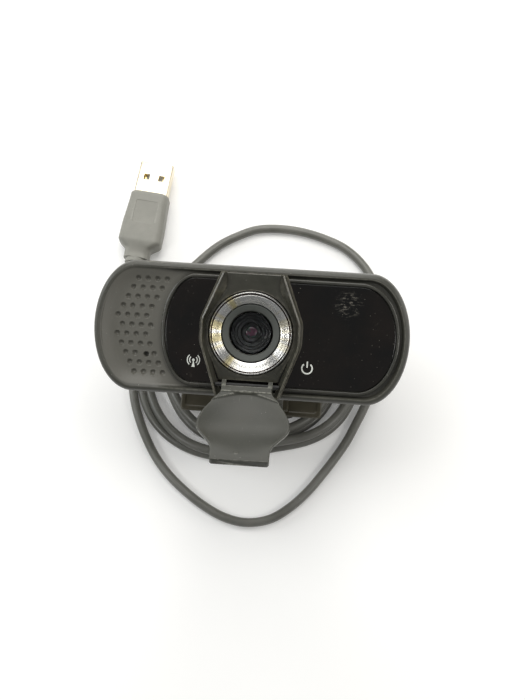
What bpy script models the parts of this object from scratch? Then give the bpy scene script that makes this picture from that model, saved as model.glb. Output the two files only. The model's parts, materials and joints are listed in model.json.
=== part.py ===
"""Webcam on a folding monitor clip, with a flip-up privacy cover and a USB lead.

Metres, +Z up. The origin is on the flat underside of the clip's rubber foot pad, below the lens.
+X runs along the camera's width, and the clip's front is at -Y.
"""

import math

import bmesh
import bpy
from mathutils import Matrix, Vector

MM = 0.001

# Gaps and clearances
GAP = 0.3 * MM            # between pieces that touch
RUNNING = 0.15 * MM       # around a pin that turns

# Camera body: a pill with half-elliptical ends
BODY_WIDTH = 95.0 * MM
BODY_HEIGHT = 39.5 * MM
BODY_END = 12.4 * MM      # semi-axis of an end along X
BODY_DEPTH = 24.0 * MM
FRONT_DEPTH = 11.0 * MM   # rim to the split line
WALL = 1.8 * MM
RIM_INSET = 1.5 * MM      # from the outline to the crest of the rim
RECESS_INSET = 2.2 * MM   # from the outline to the recess floor
RECESS_DEPTH = 1.8 * MM
REAR_ROUND = 5.0 * MM     # how far the rear rounds in

# Front panel
PANEL_LEFT = 25.6 * MM    # from the lens axis to the left end
PANEL_RIGHT = 43.0 * MM
PANEL_HEIGHT = 31.0 * MM
PANEL_THICK = 0.9 * MM
PANEL_END_LEFT = 8.5 * MM
PANEL_END_RIGHT = 11.0 * MM
TRIM_WIDTH = 1.1 * MM
TRIM_RISE = 0.35 * MM

# Lens, from the front
RING_OUTER = 12.4 * MM
RING_INNER = 8.85 * MM
RING_RISE = 2.0 * MM      # in front of the rim
ANNULUS_INNER = 6.65 * MM
GLASS_THICK = 1.0 * MM
BARREL_RADIUS = 6.0 * MM
BARREL_WALL = 0.9 * MM
BARREL_LENGTH = 7.0 * MM
HOLDER_SIDE = 16.0 * MM
ELEMENT_THICK = 1.4 * MM

# Electronics
BOARD_WIDTH = 64.0 * MM
BOARD_HEIGHT = 27.0 * MM
BOARD_THICK = 1.6 * MM
SENSOR_SIDE = 7.0 * MM
SENSOR_THICK = 1.0 * MM
CHIP_SIDE = 9.0 * MM
CHIP_THICK = 1.0 * MM
MIC_X = -31.1 * MM
MIC_Z = -8.4 * MM
MIC_RADIUS = 2.0 * MM
MIC_HOLE = 0.7 * MM
MIC_DEPTH = 2.0 * MM
ICON_X = 17.0 * MM
ICON_Z = -9.5 * MM
LED_SIDE = 1.6 * MM
GUIDE_RADIUS = 1.5 * MM

# Case screws
SCREW_X = 39.0 * MM
SCREW_Z = 9.0 * MM
SCREW_RADIUS = 1.0 * MM
SCREW_HEAD = 1.9 * MM
HEAD_THICK = 1.2 * MM
BOSS_WALL = 1.2 * MM

# Privacy cover
COVER_MARGIN = 3.0 * MM   # from the lens ring to the widest part of the cover
COVER_ENDS = 5.6 * MM     # from the lens ring to the cover's top and bottom
COVER_WIDTH = 2 * (RING_OUTER + COVER_MARGIN)
COVER_HEIGHT = 2 * (RING_OUTER + COVER_ENDS)
COVER_TOP_WIDTH = 21.0 * MM
COVER_FLAT = 7.0 * MM     # height of its widest stretch
RAIL_WIDTH = 1.7 * MM
RAIL_TOP = 4.8 * MM       # in front of the rim
COVER_BASE = 0.9 * MM
PAD_THICK = 0.5 * MM
FLAP_HINGE_DROP = 2.9 * MM   # from the lens ring down to the flap's axis
FLAP_HINGE_Z = -(RING_OUTER + FLAP_HINGE_DROP)
FLAP_HINGE_OUT = 3.7 * MM
FLAP_OVERHANG = 1.1 * MM  # past the lens ring's top when it is closed
FLAP_LENGTH = RING_OUTER + FLAP_OVERHANG - FLAP_HINGE_Z
FLAP_WIDTH = 2 * (RING_OUTER + 1.1 * MM)
FLAP_ROOT_WIDTH = 15.0 * MM
FLAP_LIP_WIDTH = 16.8 * MM
FLAP_THICK = 1.4 * MM
FLAP_LIP_THICK = 2.4 * MM
FLAP_DISH = 2.4 * MM
FLAP_BARREL = 1.5 * MM
FLAP_PIN = 0.6 * MM
FLAP_LUG = 1.6 * MM
FLAP_OPEN = 132.0         # degrees from closed, as it rests

# Tilt hinge, and the head's place on it
HINGE_BEHIND = 20.0 * MM  # from the rim back to the axis
HINGE_DROP = 4.25 * MM    # from the body's lower side down to the axis
HINGE_BELOW = BODY_HEIGHT / 2 + HINGE_DROP
HINGE_Y = -9.0 * MM
HINGE_Z = 23.0 * MM
HEAD_LEAN = 69.0          # degrees that the face leans back at rest
BARREL = 3.6 * MM
NECK_WIDTH = 12.0 * MM
LUG_WIDTH = 3.4 * MM
TILT_PIN = 1.5 * MM
WASHER_THICK = 0.5 * MM

# Clip
PLATE_WIDTH = 46.0 * MM
PLATE_FRONT = -11.6 * MM
PLATE_BACK = 28.5 * MM
PLATE_THICK = 5.4 * MM
PLATE_CORNER = 3.0 * MM
LIP_DROP = 1.2 * MM
LIP_THICK = 2.6 * MM
JAW_PAD_THICK = 0.8 * MM
LEG_WIDTH = 30.0 * MM
LEG_FRONT = -7.6 * MM
LEG_THICK = 5.4 * MM
LEG_PIN = 1.25 * MM
LEG_BARREL = 2.95 * MM
LEG_AXIS_Y = 22.5 * MM
EAR_WIDTH = 3.0 * MM
FOOT_THICK = 1.2 * MM
FOOT_MARGIN = 2.5 * MM
JAW_GAP = 0.6 * MM        # between the folded leg and the jaw pad
PLATE_BOTTOM = FOOT_THICK + GAP + LEG_THICK + JAW_GAP + JAW_PAD_THICK + GAP
INSERT_Y = 13.0 * MM
INSERT_BORE = 3.2 * MM    # quarter-inch tripod thread, at its major radius
INSERT_WALL = 1.3 * MM

# Lead
CORD_RADIUS = 1.6 * MM
GLAND_X = -30.0 * MM
GLAND_Z = -13.0 * MM
GLAND_ROOT = 3.3 * MM
GLAND_TIP = 2.3 * MM
GLAND_LENGTH = 7.0 * MM
COIL_X = -1.0 * MM
COIL_Y = 9.0 * MM
COIL_INNER = 26.6 * MM
COIL_OUTER = 37.0 * MM
COIL_HEIGHT = 6.9 * MM

# USB plug, lying on its flat side
PLUG_NECK = (-44.4 * MM, 45.0 * MM)
PLUG_TURN = -6.5          # degrees from +Y
PLUG_Z = 4.2 * MM
HOUSING_LENGTH = 22.5 * MM
HOUSING_WIDTH = 15.0 * MM
HOUSING_THICK = 8.0 * MM
SHELL_WIDTH = 12.0 * MM
SHELL_HEIGHT = 4.5 * MM
SHELL_LENGTH = 12.0 * MM
SHELL_WALL = 0.35 * MM
TONGUE_THICK = 1.8 * MM
CONTACT_WIDTH = 1.0 * MM
RELIEF_LENGTH = 7.5 * MM
RELIEF_RADIUS = 3.0 * MM

FINISHES = {
    "black_plastic": ((0.045, 0.046, 0.040), 0.45, 0.0),
    "grey_plastic": ((0.075, 0.076, 0.066), 0.5, 0.0),
    "panel_gloss": ((0.006, 0.006, 0.006), 0.12, 0.0),
    "chrome": ((0.62, 0.61, 0.58), 0.18, 1.0),
    "lens_glass": ((0.01, 0.01, 0.012), 0.04, 0.0),
    "steel": ((0.55, 0.55, 0.53), 0.3, 1.0),
    "brass": ((0.65, 0.48, 0.2), 0.3, 1.0),
    "rubber": ((0.03, 0.03, 0.03), 0.8, 0.0),
    "circuit_board": ((0.02, 0.12, 0.05), 0.5, 0.0),
    "chip": ((0.02, 0.02, 0.02), 0.4, 0.0),
    "clear_plastic": ((0.8, 0.8, 0.78), 0.3, 0.0),
    "cord_jacket": ((0.16, 0.16, 0.14), 0.5, 0.0),
    "gold_contact": ((0.8, 0.6, 0.25), 0.25, 1.0),
}


def clear_scene():
    for obj in list(bpy.data.objects):
        bpy.data.objects.remove(obj, do_unlink=True)


def finish(name):
    """The Principled material of one finish, made once."""
    material = bpy.data.materials.get(name)
    if material:
        return material
    colour, roughness, metallic = FINISHES[name]
    material = bpy.data.materials.new(name)
    material.use_nodes = True
    shader = material.node_tree.nodes["Principled BSDF"]
    shader.inputs["Base Color"].default_value = (*colour, 1.0)
    shader.inputs["Roughness"].default_value = roughness
    shader.inputs["Metallic"].default_value = metallic
    return material


def empty(name, place, turn=(0.0, 0.0, 0.0), parent=None):
    marker = bpy.data.objects.new(name, None)
    bpy.context.scene.collection.objects.link(marker)
    marker.location = place
    marker.rotation_euler = turn
    marker.parent = parent
    return marker


def from_bmesh(name, shape, material, parent=None, smooth=True):
    """An object of this closed shape, with its faces turned outwards."""
    bmesh.ops.recalc_face_normals(shape, faces=shape.faces)
    mesh = bpy.data.meshes.new(name)
    shape.to_mesh(mesh)
    shape.free()
    if smooth:
        mesh.shade_smooth()
        mesh.set_sharp_from_angle(angle=math.radians(35))
    obj = bpy.data.objects.new(name, mesh)
    obj.data.materials.append(finish(material))
    obj.parent = parent
    bpy.context.scene.collection.objects.link(obj)
    return obj


def loft(rings):
    """A closed solid through rings of as many points each, with a flat cap at each end."""
    shape = bmesh.new()
    rows = [[shape.verts.new(point) for point in ring] for ring in rings]
    for low, high in zip(rows, rows[1:]):
        for index in range(len(low)):
            after = (index + 1) % len(low)
            shape.faces.new((low[index], low[after], high[after], high[index]))
    shape.faces.new(rows[0])
    shape.faces.new(rows[-1])
    return shape


def hoop(rings):
    """A closed solid whose last ring joins its first, such as a tube with two open ends."""
    shape = bmesh.new()
    rows = [[shape.verts.new(point) for point in ring] for ring in rings]
    for low, high in zip(rows, rows[1:] + rows[:1]):
        for index in range(len(low)):
            after = (index + 1) % len(low)
            shape.faces.new((low[index], low[after], high[after], high[index]))
    return shape


def pill(left, right, half_height, end_left, end_right, depth, steps=14):
    """A ring in a plane of constant depth: straight top and bottom, and half-elliptical ends."""
    points = []
    for index in range(steps + 1):
        angle = math.pi * (0.5 - index / steps)
        across = right - end_right + end_right * math.cos(angle)
        points.append((across, depth, half_height * math.sin(angle)))
    for index in range(steps + 1):
        angle = -math.pi * (0.5 + index / steps)
        across = -left + end_left + end_left * math.cos(angle)
        points.append((across, depth, half_height * math.sin(angle)))
    return points


def body_ring(inset, depth):
    half = BODY_WIDTH / 2 - inset
    end = BODY_END - inset * BODY_END / (BODY_HEIGHT / 2)
    return pill(half, half, BODY_HEIGHT / 2 - inset, end, end, depth)


def panel_ring(grow, depth):
    left = PANEL_LEFT + grow
    right = PANEL_RIGHT + grow
    return pill(left, right, PANEL_HEIGHT / 2 + grow, PANEL_END_LEFT + grow, PANEL_END_RIGHT + grow, depth)


def circle(radius, depth, centre=(0.0, 0.0), steps=32):
    """A ring about the Y axis."""
    ring = []
    for index in range(steps):
        angle = 2 * math.pi * index / steps
        ring.append((centre[0] + radius * math.cos(angle), depth, centre[1] + radius * math.sin(angle)))
    return ring


def turned(profile, centre=(0.0, 0.0), steps=32):
    """A tube about the Y axis through pairs of radius and depth."""
    return hoop([circle(radius, depth, centre, steps) for radius, depth in profile])


def rod(radius, low, high, centre=(0.0, 0.0), steps=20):
    """A round bar along Y."""
    return loft([circle(radius, low, centre, steps), circle(radius, high, centre, steps)])


def lay(shape, turn, place=(0.0, 0.0, 0.0)):
    """Turns a shape about the origin and moves it."""
    matrix = Matrix.Translation(Vector(place)) @ turn
    bmesh.ops.transform(shape, matrix=matrix, verts=shape.verts)
    return shape


ALONG_X = Matrix.Rotation(math.radians(-90), 4, "Z")
ALONG_Z = Matrix.Rotation(math.radians(90), 4, "X")


def block(low, high, round_edges=0.0):
    """A box between two corners, with its edges rounded a little where asked."""
    shape = bmesh.new()
    bmesh.ops.create_cube(shape, size=1.0)
    size = [b - a for a, b in zip(low, high)]
    middle = [(a + b) / 2 for a, b in zip(low, high)]
    bmesh.ops.scale(shape, vec=size, verts=shape.verts)
    bmesh.ops.translate(shape, vec=middle, verts=shape.verts)
    if round_edges:
        bmesh.ops.bevel(shape, geom=shape.edges[:], offset=round_edges, segments=2, profile=0.5,
                        affect="EDGES", clamp_overlap=True)
    return shape


def hinge_tab(low, high, radius, reach, axis, steps=14):
    """A tab across X: half round about the axis, and straight from there up (or down) by reach."""
    side = math.copysign(1.0, reach)
    outline = [(radius, reach), (-radius, reach)]
    for index in range(steps + 1):
        angle = math.pi * index / steps
        outline.append((-radius * math.cos(angle), -side * radius * math.sin(angle)))
    rings = [[(x, axis[1] + y, axis[2] + z) for y, z in outline] for x in (low, high)]
    return loft(rings)


def cutter(name, shape, parent=None):
    tool = from_bmesh(name, shape, "steel", parent, smooth=False)
    tool.hide_render = True
    tool.display_type = "WIRE"
    return tool


def combine(obj, tool, operation="DIFFERENCE"):
    step = obj.modifiers.new(tool.name, "BOOLEAN")
    step.operation = operation
    step.solver = "EXACT"
    step.object = tool


# Camera body

def make_front_shell(head):
    rings = [
        body_ring(RECESS_INSET + 0.4 * MM, RECESS_DEPTH),
        body_ring(RECESS_INSET, RECESS_DEPTH - 0.5 * MM),
        body_ring(RIM_INSET + 0.4 * MM, 0.1 * MM),
        body_ring(RIM_INSET - 0.4 * MM, 0.0),
        body_ring(0.7 * MM, 0.4 * MM),
        body_ring(0.2 * MM, 1.5 * MM),
        body_ring(0.0, 3.4 * MM),
        body_ring(0.0, FRONT_DEPTH),
        body_ring(WALL, FRONT_DEPTH),
        body_ring(WALL + 0.2 * MM, RECESS_DEPTH + WALL + 1.2 * MM),
        body_ring(WALL + 1.6 * MM, RECESS_DEPTH + WALL),
    ]
    shell = from_bmesh("front_shell", loft(rings), "black_plastic", head)
    for index, centre in enumerate(screw_places()):
        low = RECESS_DEPTH + WALL - GAP
        post = rod(SCREW_RADIUS + GAP + BOSS_WALL, low, FRONT_DEPTH - GAP, centre, 16)
        combine(shell, cutter(f"post_{index}", post, head), "UNION")
        bore = rod(SCREW_RADIUS + GAP, RECESS_DEPTH + WALL + GAP, BODY_DEPTH, centre, 16)
        combine(shell, cutter(f"post_bore_{index}", bore, head))
    lens_hole = rod(RING_OUTER - 1.6 * MM, -WALL, FRONT_DEPTH, (0.0, 0.0), 32)
    combine(shell, cutter("lens_hole", lens_hole, head))
    mic_hole = rod(MIC_HOLE, -WALL, FRONT_DEPTH, (MIC_X, MIC_Z), 12)
    combine(shell, cutter("mic_hole", mic_hole, head))
    for index, side in enumerate((-1, 1)):
        guide_hole = rod(GUIDE_RADIUS + GAP, -WALL, FRONT_DEPTH, (side * ICON_X, ICON_Z), 16)
        combine(shell, cutter(f"guide_hole_{index}", guide_hole, head))
    return shell


def make_rear_shell(head):
    split = FRONT_DEPTH + GAP
    rings = [
        body_ring(REAR_ROUND, BODY_DEPTH),
        body_ring(REAR_ROUND * 0.45, BODY_DEPTH - REAR_ROUND * 0.22),
        body_ring(REAR_ROUND * 0.15, BODY_DEPTH - REAR_ROUND * 0.55),
        body_ring(0.0, BODY_DEPTH - REAR_ROUND),
        body_ring(0.0, split),
        body_ring(WALL, split),
        body_ring(WALL + 0.1 * MM, BODY_DEPTH - REAR_ROUND),
        body_ring(WALL + REAR_ROUND * 0.5, BODY_DEPTH - WALL - REAR_ROUND * 0.15),
        body_ring(WALL + REAR_ROUND, BODY_DEPTH - WALL),
    ]
    shell = from_bmesh("rear_shell", loft(rings), "black_plastic", head)
    for index, side in enumerate((-1, 1)):
        inner = NECK_WIDTH / 2 + WASHER_THICK + 2 * GAP
        low = min(side * inner, side * (inner + LUG_WIDTH))
        high = max(side * inner, side * (inner + LUG_WIDTH))
        reach = HINGE_BELOW - BODY_HEIGHT / 2 + WALL * 0.8
        lug = hinge_tab(low, high, BARREL, reach, (0.0, HINGE_BEHIND, -HINGE_BELOW))
        combine(shell, cutter(f"lug_{index}", lug, head), "UNION")
    bore = lay(rod(TILT_PIN + RUNNING, -NECK_WIDTH * 2, NECK_WIDTH * 2, (0.0, 0.0), 20), ALONG_X,
               (0.0, HINGE_BEHIND, -HINGE_BELOW))
    combine(shell, cutter("tilt_bore", bore, head))
    for index, centre in enumerate(screw_places()):
        hole = rod(SCREW_RADIUS + GAP, FRONT_DEPTH, BODY_DEPTH + WALL, centre, 16)
        combine(shell, cutter(f"screw_hole_{index}", hole, head))
        sink = rod(SCREW_HEAD + GAP, BODY_DEPTH - WALL * 0.45, BODY_DEPTH + WALL, centre, 16)
        combine(shell, cutter(f"screw_sink_{index}", sink, head))
    gland_hole = rod(GLAND_TIP + GAP, BODY_DEPTH - WALL * 3, BODY_DEPTH + WALL, (GLAND_X, GLAND_Z), 16)
    combine(shell, cutter("gland_hole", gland_hole, head))
    return shell


def screw_places():
    return [(x, z) for x in (-SCREW_X, SCREW_X) for z in (-SCREW_Z, SCREW_Z)]


def make_case_screws(head):
    """Each screw's head sits in its sink, and its shank stops short of the bottom of its post."""
    seat = BODY_DEPTH - WALL * 0.45
    for index, centre in enumerate(screw_places()):
        rings = [
            circle(SCREW_RADIUS, RECESS_DEPTH + WALL + 4 * GAP, centre, 12),
            circle(SCREW_RADIUS, seat + GAP, centre, 12),
            circle(SCREW_HEAD, seat + GAP, centre, 12),
            circle(SCREW_HEAD, seat + GAP + HEAD_THICK * 0.4, centre, 12),
        ]
        from_bmesh(f"case_screw_{index + 1}", loft(rings), "steel", head)


def make_front_panel(head):
    face = RECESS_DEPTH - GAP - PANEL_THICK
    panel = loft([
        panel_ring(0.0, face + PANEL_THICK),
        panel_ring(0.0, face + 0.2 * MM),
        panel_ring(-0.2 * MM, face),
    ])
    panel = from_bmesh("front_panel", panel, "panel_gloss", head)
    combine(panel, cutter("panel_hole", rod(RING_OUTER + GAP, -WALL, WALL * 2, (0.0, 0.0), 48), head))
    front = face - TRIM_RISE
    trim = hoop([
        panel_ring(GAP, face + PANEL_THICK),
        panel_ring(GAP, front + 0.2 * MM),
        panel_ring(GAP + TRIM_WIDTH * 0.3, front),
        panel_ring(GAP + TRIM_WIDTH * 0.7, front),
        panel_ring(GAP + TRIM_WIDTH, front + 0.3 * MM),
        panel_ring(GAP + TRIM_WIDTH, face + PANEL_THICK),
    ])
    from_bmesh("panel_trim", trim, "black_plastic", head)


def make_lens(head):
    back = RECESS_DEPTH - GAP
    ring = turned([
        (RING_OUTER, back),
        (RING_OUTER, -RING_RISE + 0.5 * MM),
        (RING_OUTER - 0.3 * MM, -RING_RISE),
        (RING_OUTER - 0.9 * MM, -RING_RISE),
        (RING_OUTER - 1.1 * MM, -RING_RISE + 0.5 * MM),
        (RING_INNER + 0.3 * MM, -RING_RISE + 1.3 * MM),
        (RING_INNER, -RING_RISE + 1.6 * MM),
        (RING_INNER, back),
    ], steps=48)
    from_bmesh("lens_ring", ring, "chrome", head)
    front = -RING_RISE + 1.7 * MM
    annulus = turned([
        (RING_INNER - GAP, back),
        (RING_INNER - GAP, front),
        (ANNULUS_INNER + 0.3 * MM, front + 0.9 * MM),
        (ANNULUS_INNER, front + 1.1 * MM),
        (ANNULUS_INNER, back),
    ], steps=40)
    from_bmesh("lens_bezel", annulus, "grey_plastic", head)
    glass_front = back - GLASS_THICK
    from_bmesh("lens_window", rod(ANNULUS_INNER - GAP, glass_front, back, (0.0, 0.0), 32), "lens_glass", head)
    start = back + GAP
    bore = BARREL_RADIUS - BARREL_WALL
    barrel = turned([
        (BARREL_RADIUS, start),
        (BARREL_RADIUS, start + BARREL_LENGTH),
        (bore, start + BARREL_LENGTH),
        (bore, start + 0.6 * MM),
        (bore * 0.45, start),
    ])
    from_bmesh("lens_barrel", barrel, "black_plastic", head)
    for index, share in enumerate((0.3, 0.65)):
        low = start + BARREL_LENGTH * share
        element = loft([
            circle((bore - GAP) * 0.6, low - 0.4 * MM, steps=24),
            circle(bore - GAP, low, steps=24),
            circle(bore - GAP, low + ELEMENT_THICK, steps=24),
        ])
        from_bmesh(("lens_element_front", "lens_element_rear")[index], element, "lens_glass", head)
    board_front = board_depth()
    half = HOLDER_SIDE / 2
    low = start + BARREL_LENGTH * 0.45
    holder = from_bmesh("lens_holder", block((-half, low, -half), (half, board_front - GAP, half)),
                        "black_plastic", head)
    bore_cut = rod(BARREL_RADIUS + GAP, low - WALL, board_front + WALL, (0.0, 0.0), 32)
    combine(holder, cutter("holder_bore", bore_cut, head))
    filter_front = start + BARREL_LENGTH + GAP
    from_bmesh("infrared_filter", block((-BARREL_RADIUS * 0.62, filter_front, -BARREL_RADIUS * 0.62),
                                        (BARREL_RADIUS * 0.62, filter_front + 0.4 * MM, BARREL_RADIUS * 0.62)),
               "clear_plastic", head)


def board_depth():
    """Depth of the board's front face, behind the barrel, the filter and the sensor."""
    return RECESS_DEPTH + BARREL_LENGTH + 0.4 * MM + 4 * GAP + SENSOR_THICK


def make_electronics(head):
    front = board_depth()
    back = front + BOARD_THICK
    board = block((-BOARD_WIDTH / 2, front, -BOARD_HEIGHT / 2), (BOARD_WIDTH / 2, back, BOARD_HEIGHT / 2))
    from_bmesh("main_board", board, "circuit_board", head)
    half = SENSOR_SIDE / 2
    sensor = block((-half, front - GAP - SENSOR_THICK, -half), (half, front - GAP, half))
    from_bmesh("image_sensor", sensor, "chip", head)
    half = CHIP_SIDE / 2
    chip_x = -BOARD_WIDTH / 4
    chip = block((chip_x - half, back + GAP, -half), (chip_x + half, back + GAP + CHIP_THICK, half))
    from_bmesh("image_processor", chip, "chip", head)
    header_x = BOARD_WIDTH / 4
    header = block((header_x - half, back + GAP, -half / 2), (header_x + half, back + GAP + 3 * CHIP_THICK, half / 2))
    from_bmesh("cable_header", header, "clear_plastic", head)
    inner = RECESS_DEPTH + WALL + GAP
    gasket = turned([
        (MIC_RADIUS + 0.8 * MM, inner),
        (MIC_RADIUS + 0.8 * MM, inner + MIC_DEPTH),
        (MIC_RADIUS + GAP, inner + MIC_DEPTH),
        (MIC_RADIUS + GAP, inner + 0.8 * MM),
        (MIC_HOLE, inner + 0.8 * MM),
        (MIC_HOLE, inner),
    ], (MIC_X, MIC_Z), 20)
    from_bmesh("microphone_gasket", gasket, "rubber", head)
    low = inner + 0.8 * MM + GAP
    from_bmesh("microphone", rod(MIC_RADIUS, low, low + MIC_DEPTH, (MIC_X, MIC_Z), 20), "steel", head)
    for name, side in (("status", -1), ("power", 1)):
        centre = (side * ICON_X, ICON_Z)
        led_back = front - GAP
        half = LED_SIDE / 2
        led = block((centre[0] - half, led_back - 0.8 * MM, ICON_Z - half),
                    (centre[0] + half, led_back, ICON_Z + half))
        from_bmesh(f"{name}_led", led, "clear_plastic", head)
        guide = rod(GUIDE_RADIUS, RECESS_DEPTH, led_back - 0.8 * MM - GAP, centre, 16)
        from_bmesh(f"{name}_light_guide", guide, "clear_plastic", head)


# Privacy cover

def cover_ring(inset, depth):
    """The cover's elongated hexagon."""
    wide = COVER_WIDTH / 2 - inset
    narrow = COVER_TOP_WIDTH / 2 - inset
    top = COVER_HEIGHT / 2 - inset
    flat = COVER_FLAT / 2
    corners = [(narrow, top), (wide, flat), (wide, -flat), (narrow, -top),
               (-narrow, -top), (-wide, -flat), (-wide, flat), (-narrow, top)]
    return [(x, depth, z) for x, z in corners]


def make_cover(head):
    panel_face = RECESS_DEPTH - GAP - PANEL_THICK
    pad_back = panel_face - GAP
    pad = hoop([
        circle(RING_OUTER + 2 * GAP, pad_back, steps=40),
        circle(RING_OUTER + 2 * GAP, pad_back - PAD_THICK, steps=40),
        circle(RING_OUTER + 1.2 * MM, pad_back - PAD_THICK, steps=40),
        circle(RING_OUTER + 1.2 * MM, pad_back, steps=40),
    ])
    from_bmesh("cover_adhesive_ring", pad, "rubber", head)
    base_back = pad_back - PAD_THICK - GAP
    top = -RAIL_TOP
    plate = base_back - COVER_BASE
    rings = [
        cover_ring(0.0, base_back),
        cover_ring(RAIL_WIDTH * 0.3, top + 0.4 * MM),
        cover_ring(RAIL_WIDTH * 0.45, top),
        cover_ring(RAIL_WIDTH * 0.6, top),
        cover_ring(RAIL_WIDTH, plate),
    ]
    frame = from_bmesh("cover_frame", loft(rings), "black_plastic", head)
    half = FLAP_ROOT_WIDTH / 2
    for index, side in enumerate((-1, 1)):
        low = min(side * (half + GAP), side * (half + GAP + FLAP_LUG))
        high = max(side * (half + GAP), side * (half + GAP + FLAP_LUG))
        lug = block((low, -FLAP_HINGE_OUT - FLAP_BARREL, FLAP_HINGE_Z - FLAP_BARREL),
                    (high, base_back, FLAP_HINGE_Z + FLAP_BARREL))
        combine(frame, cutter(f"cover_lug_{index}", lug, head), "UNION")
    ring_room = rod(RING_OUTER + 2 * GAP, -BODY_DEPTH, BODY_DEPTH, (0.0, 0.0), 40)
    combine(frame, cutter("cover_lens_room", ring_room, head))
    slot_half = half + GAP
    slot = block((-slot_half, -BODY_DEPTH / 2, -COVER_HEIGHT), (slot_half, plate - 0.01 * MM, 0.0))
    combine(frame, cutter("cover_flap_slot", slot, head))
    top_gap = block((-COVER_TOP_WIDTH / 2 + RAIL_WIDTH, -BODY_DEPTH / 2, 0.0),
                    (COVER_TOP_WIDTH / 2 - RAIL_WIDTH, plate - 0.01 * MM, COVER_HEIGHT))
    combine(frame, cutter("cover_top_gap", top_gap, head))
    bore = lay(rod(FLAP_PIN + RUNNING, -COVER_WIDTH / 2, COVER_WIDTH / 2, (0.0, 0.0), 16), ALONG_X,
               (0.0, -FLAP_HINGE_OUT, FLAP_HINGE_Z))
    combine(frame, cutter("cover_pin_bore", bore, head))


def flap_half_width(along):
    """Half the flap's width at a distance from its hinge: it swells to a disc, then runs to a lip."""
    root = FLAP_ROOT_WIDTH / 2
    wide = FLAP_WIDTH / 2
    lip = FLAP_LIP_WIDTH / 2
    share = along / FLAP_LENGTH
    if share < 0.12:
        return root
    if share < 0.54:
        return root + (wide - root) * math.sin(math.pi / 2 * (share - 0.12) / 0.42)
    if share < 0.87:
        return lip + (wide - lip) * math.cos(math.pi / 2 * (share - 0.54) / 0.33)
    return lip


def flap_rise(along, across):
    """How far the flap's shell stands away from the lens: a shallow dish, flat at root and lip."""
    share = along / FLAP_LENGTH
    if share < 0.1 or share > 0.9:
        return 0.0
    length_part = math.sin(math.pi * (share - 0.1) / 0.8)
    return FLAP_DISH * length_part * (1 - (across * across) ** 1.3)


def make_flap(flap):
    """The flap lies along +Z from its hinge when closed, with its dished face towards the lens."""
    stations = [0.03, 0.12, 0.18, 0.25, 0.33, 0.41, 0.49, 0.56, 0.63, 0.70, 0.77, 0.83, 0.88, 0.92, 0.94, 1.0]
    count = 12
    shape = bmesh.new()
    inner = []
    outer = []
    for share in stations:
        along = share * FLAP_LENGTH
        half = flap_half_width(along)
        thick = FLAP_LIP_THICK if share > 0.93 else FLAP_THICK
        near = []
        far = []
        for index in range(count + 1):
            across = 2 * index / count - 1
            rise = flap_rise(along, across)
            near.append(shape.verts.new((across * half, 0.9 * MM - rise, along)))
            far.append(shape.verts.new((across * half, 0.9 * MM - thick - rise, along)))
        inner.append(near)
        outer.append(far)
    for grid in (inner, outer):
        for low, high in zip(grid, grid[1:]):
            for index in range(count):
                shape.faces.new((low[index], low[index + 1], high[index + 1], high[index]))
    for first, last in ((inner[0], outer[0]), (inner[-1], outer[-1])):
        for index in range(count):
            shape.faces.new((first[index], first[index + 1], last[index + 1], last[index]))
    for edge in (0, count):
        for row in range(len(stations) - 1):
            shape.faces.new((inner[row][edge], inner[row + 1][edge], outer[row + 1][edge], outer[row][edge]))
    cover = from_bmesh("privacy_flap", shape, "grey_plastic", flap)
    half = FLAP_ROOT_WIDTH / 2
    barrel = lay(rod(FLAP_BARREL, -half, half, (0.0, 0.0), 20), ALONG_X)
    combine(cover, cutter("flap_barrel", barrel, flap), "UNION")
    bore = lay(rod(FLAP_PIN + RUNNING, -COVER_WIDTH, COVER_WIDTH, (0.0, 0.0), 16), ALONG_X)
    combine(cover, cutter("flap_bore", bore, flap))
    return cover


def make_flap_pin(head):
    reach = FLAP_ROOT_WIDTH / 2 + GAP + FLAP_LUG
    pin = lay(rod(FLAP_PIN, -reach, reach, (0.0, 0.0), 12), ALONG_X, (0.0, -FLAP_HINGE_OUT, FLAP_HINGE_Z))
    from_bmesh("flap_pin", pin, "steel", head)


# Clip

def plan(width, front, back, corner, height, steps=5):
    """A rectangle with round corners in a plane of constant height."""
    points = []
    for centre_x, centre_y, start in ((width / 2 - corner, back - corner, 0), (-width / 2 + corner, back - corner, 90),
                                      (-width / 2 + corner, front + corner, 180),
                                      (width / 2 - corner, front + corner, 270)):
        for index in range(steps + 1):
            angle = math.radians(start + 90 * index / steps)
            points.append((centre_x + corner * math.cos(angle), centre_y + corner * math.sin(angle), height))
    return points


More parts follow.
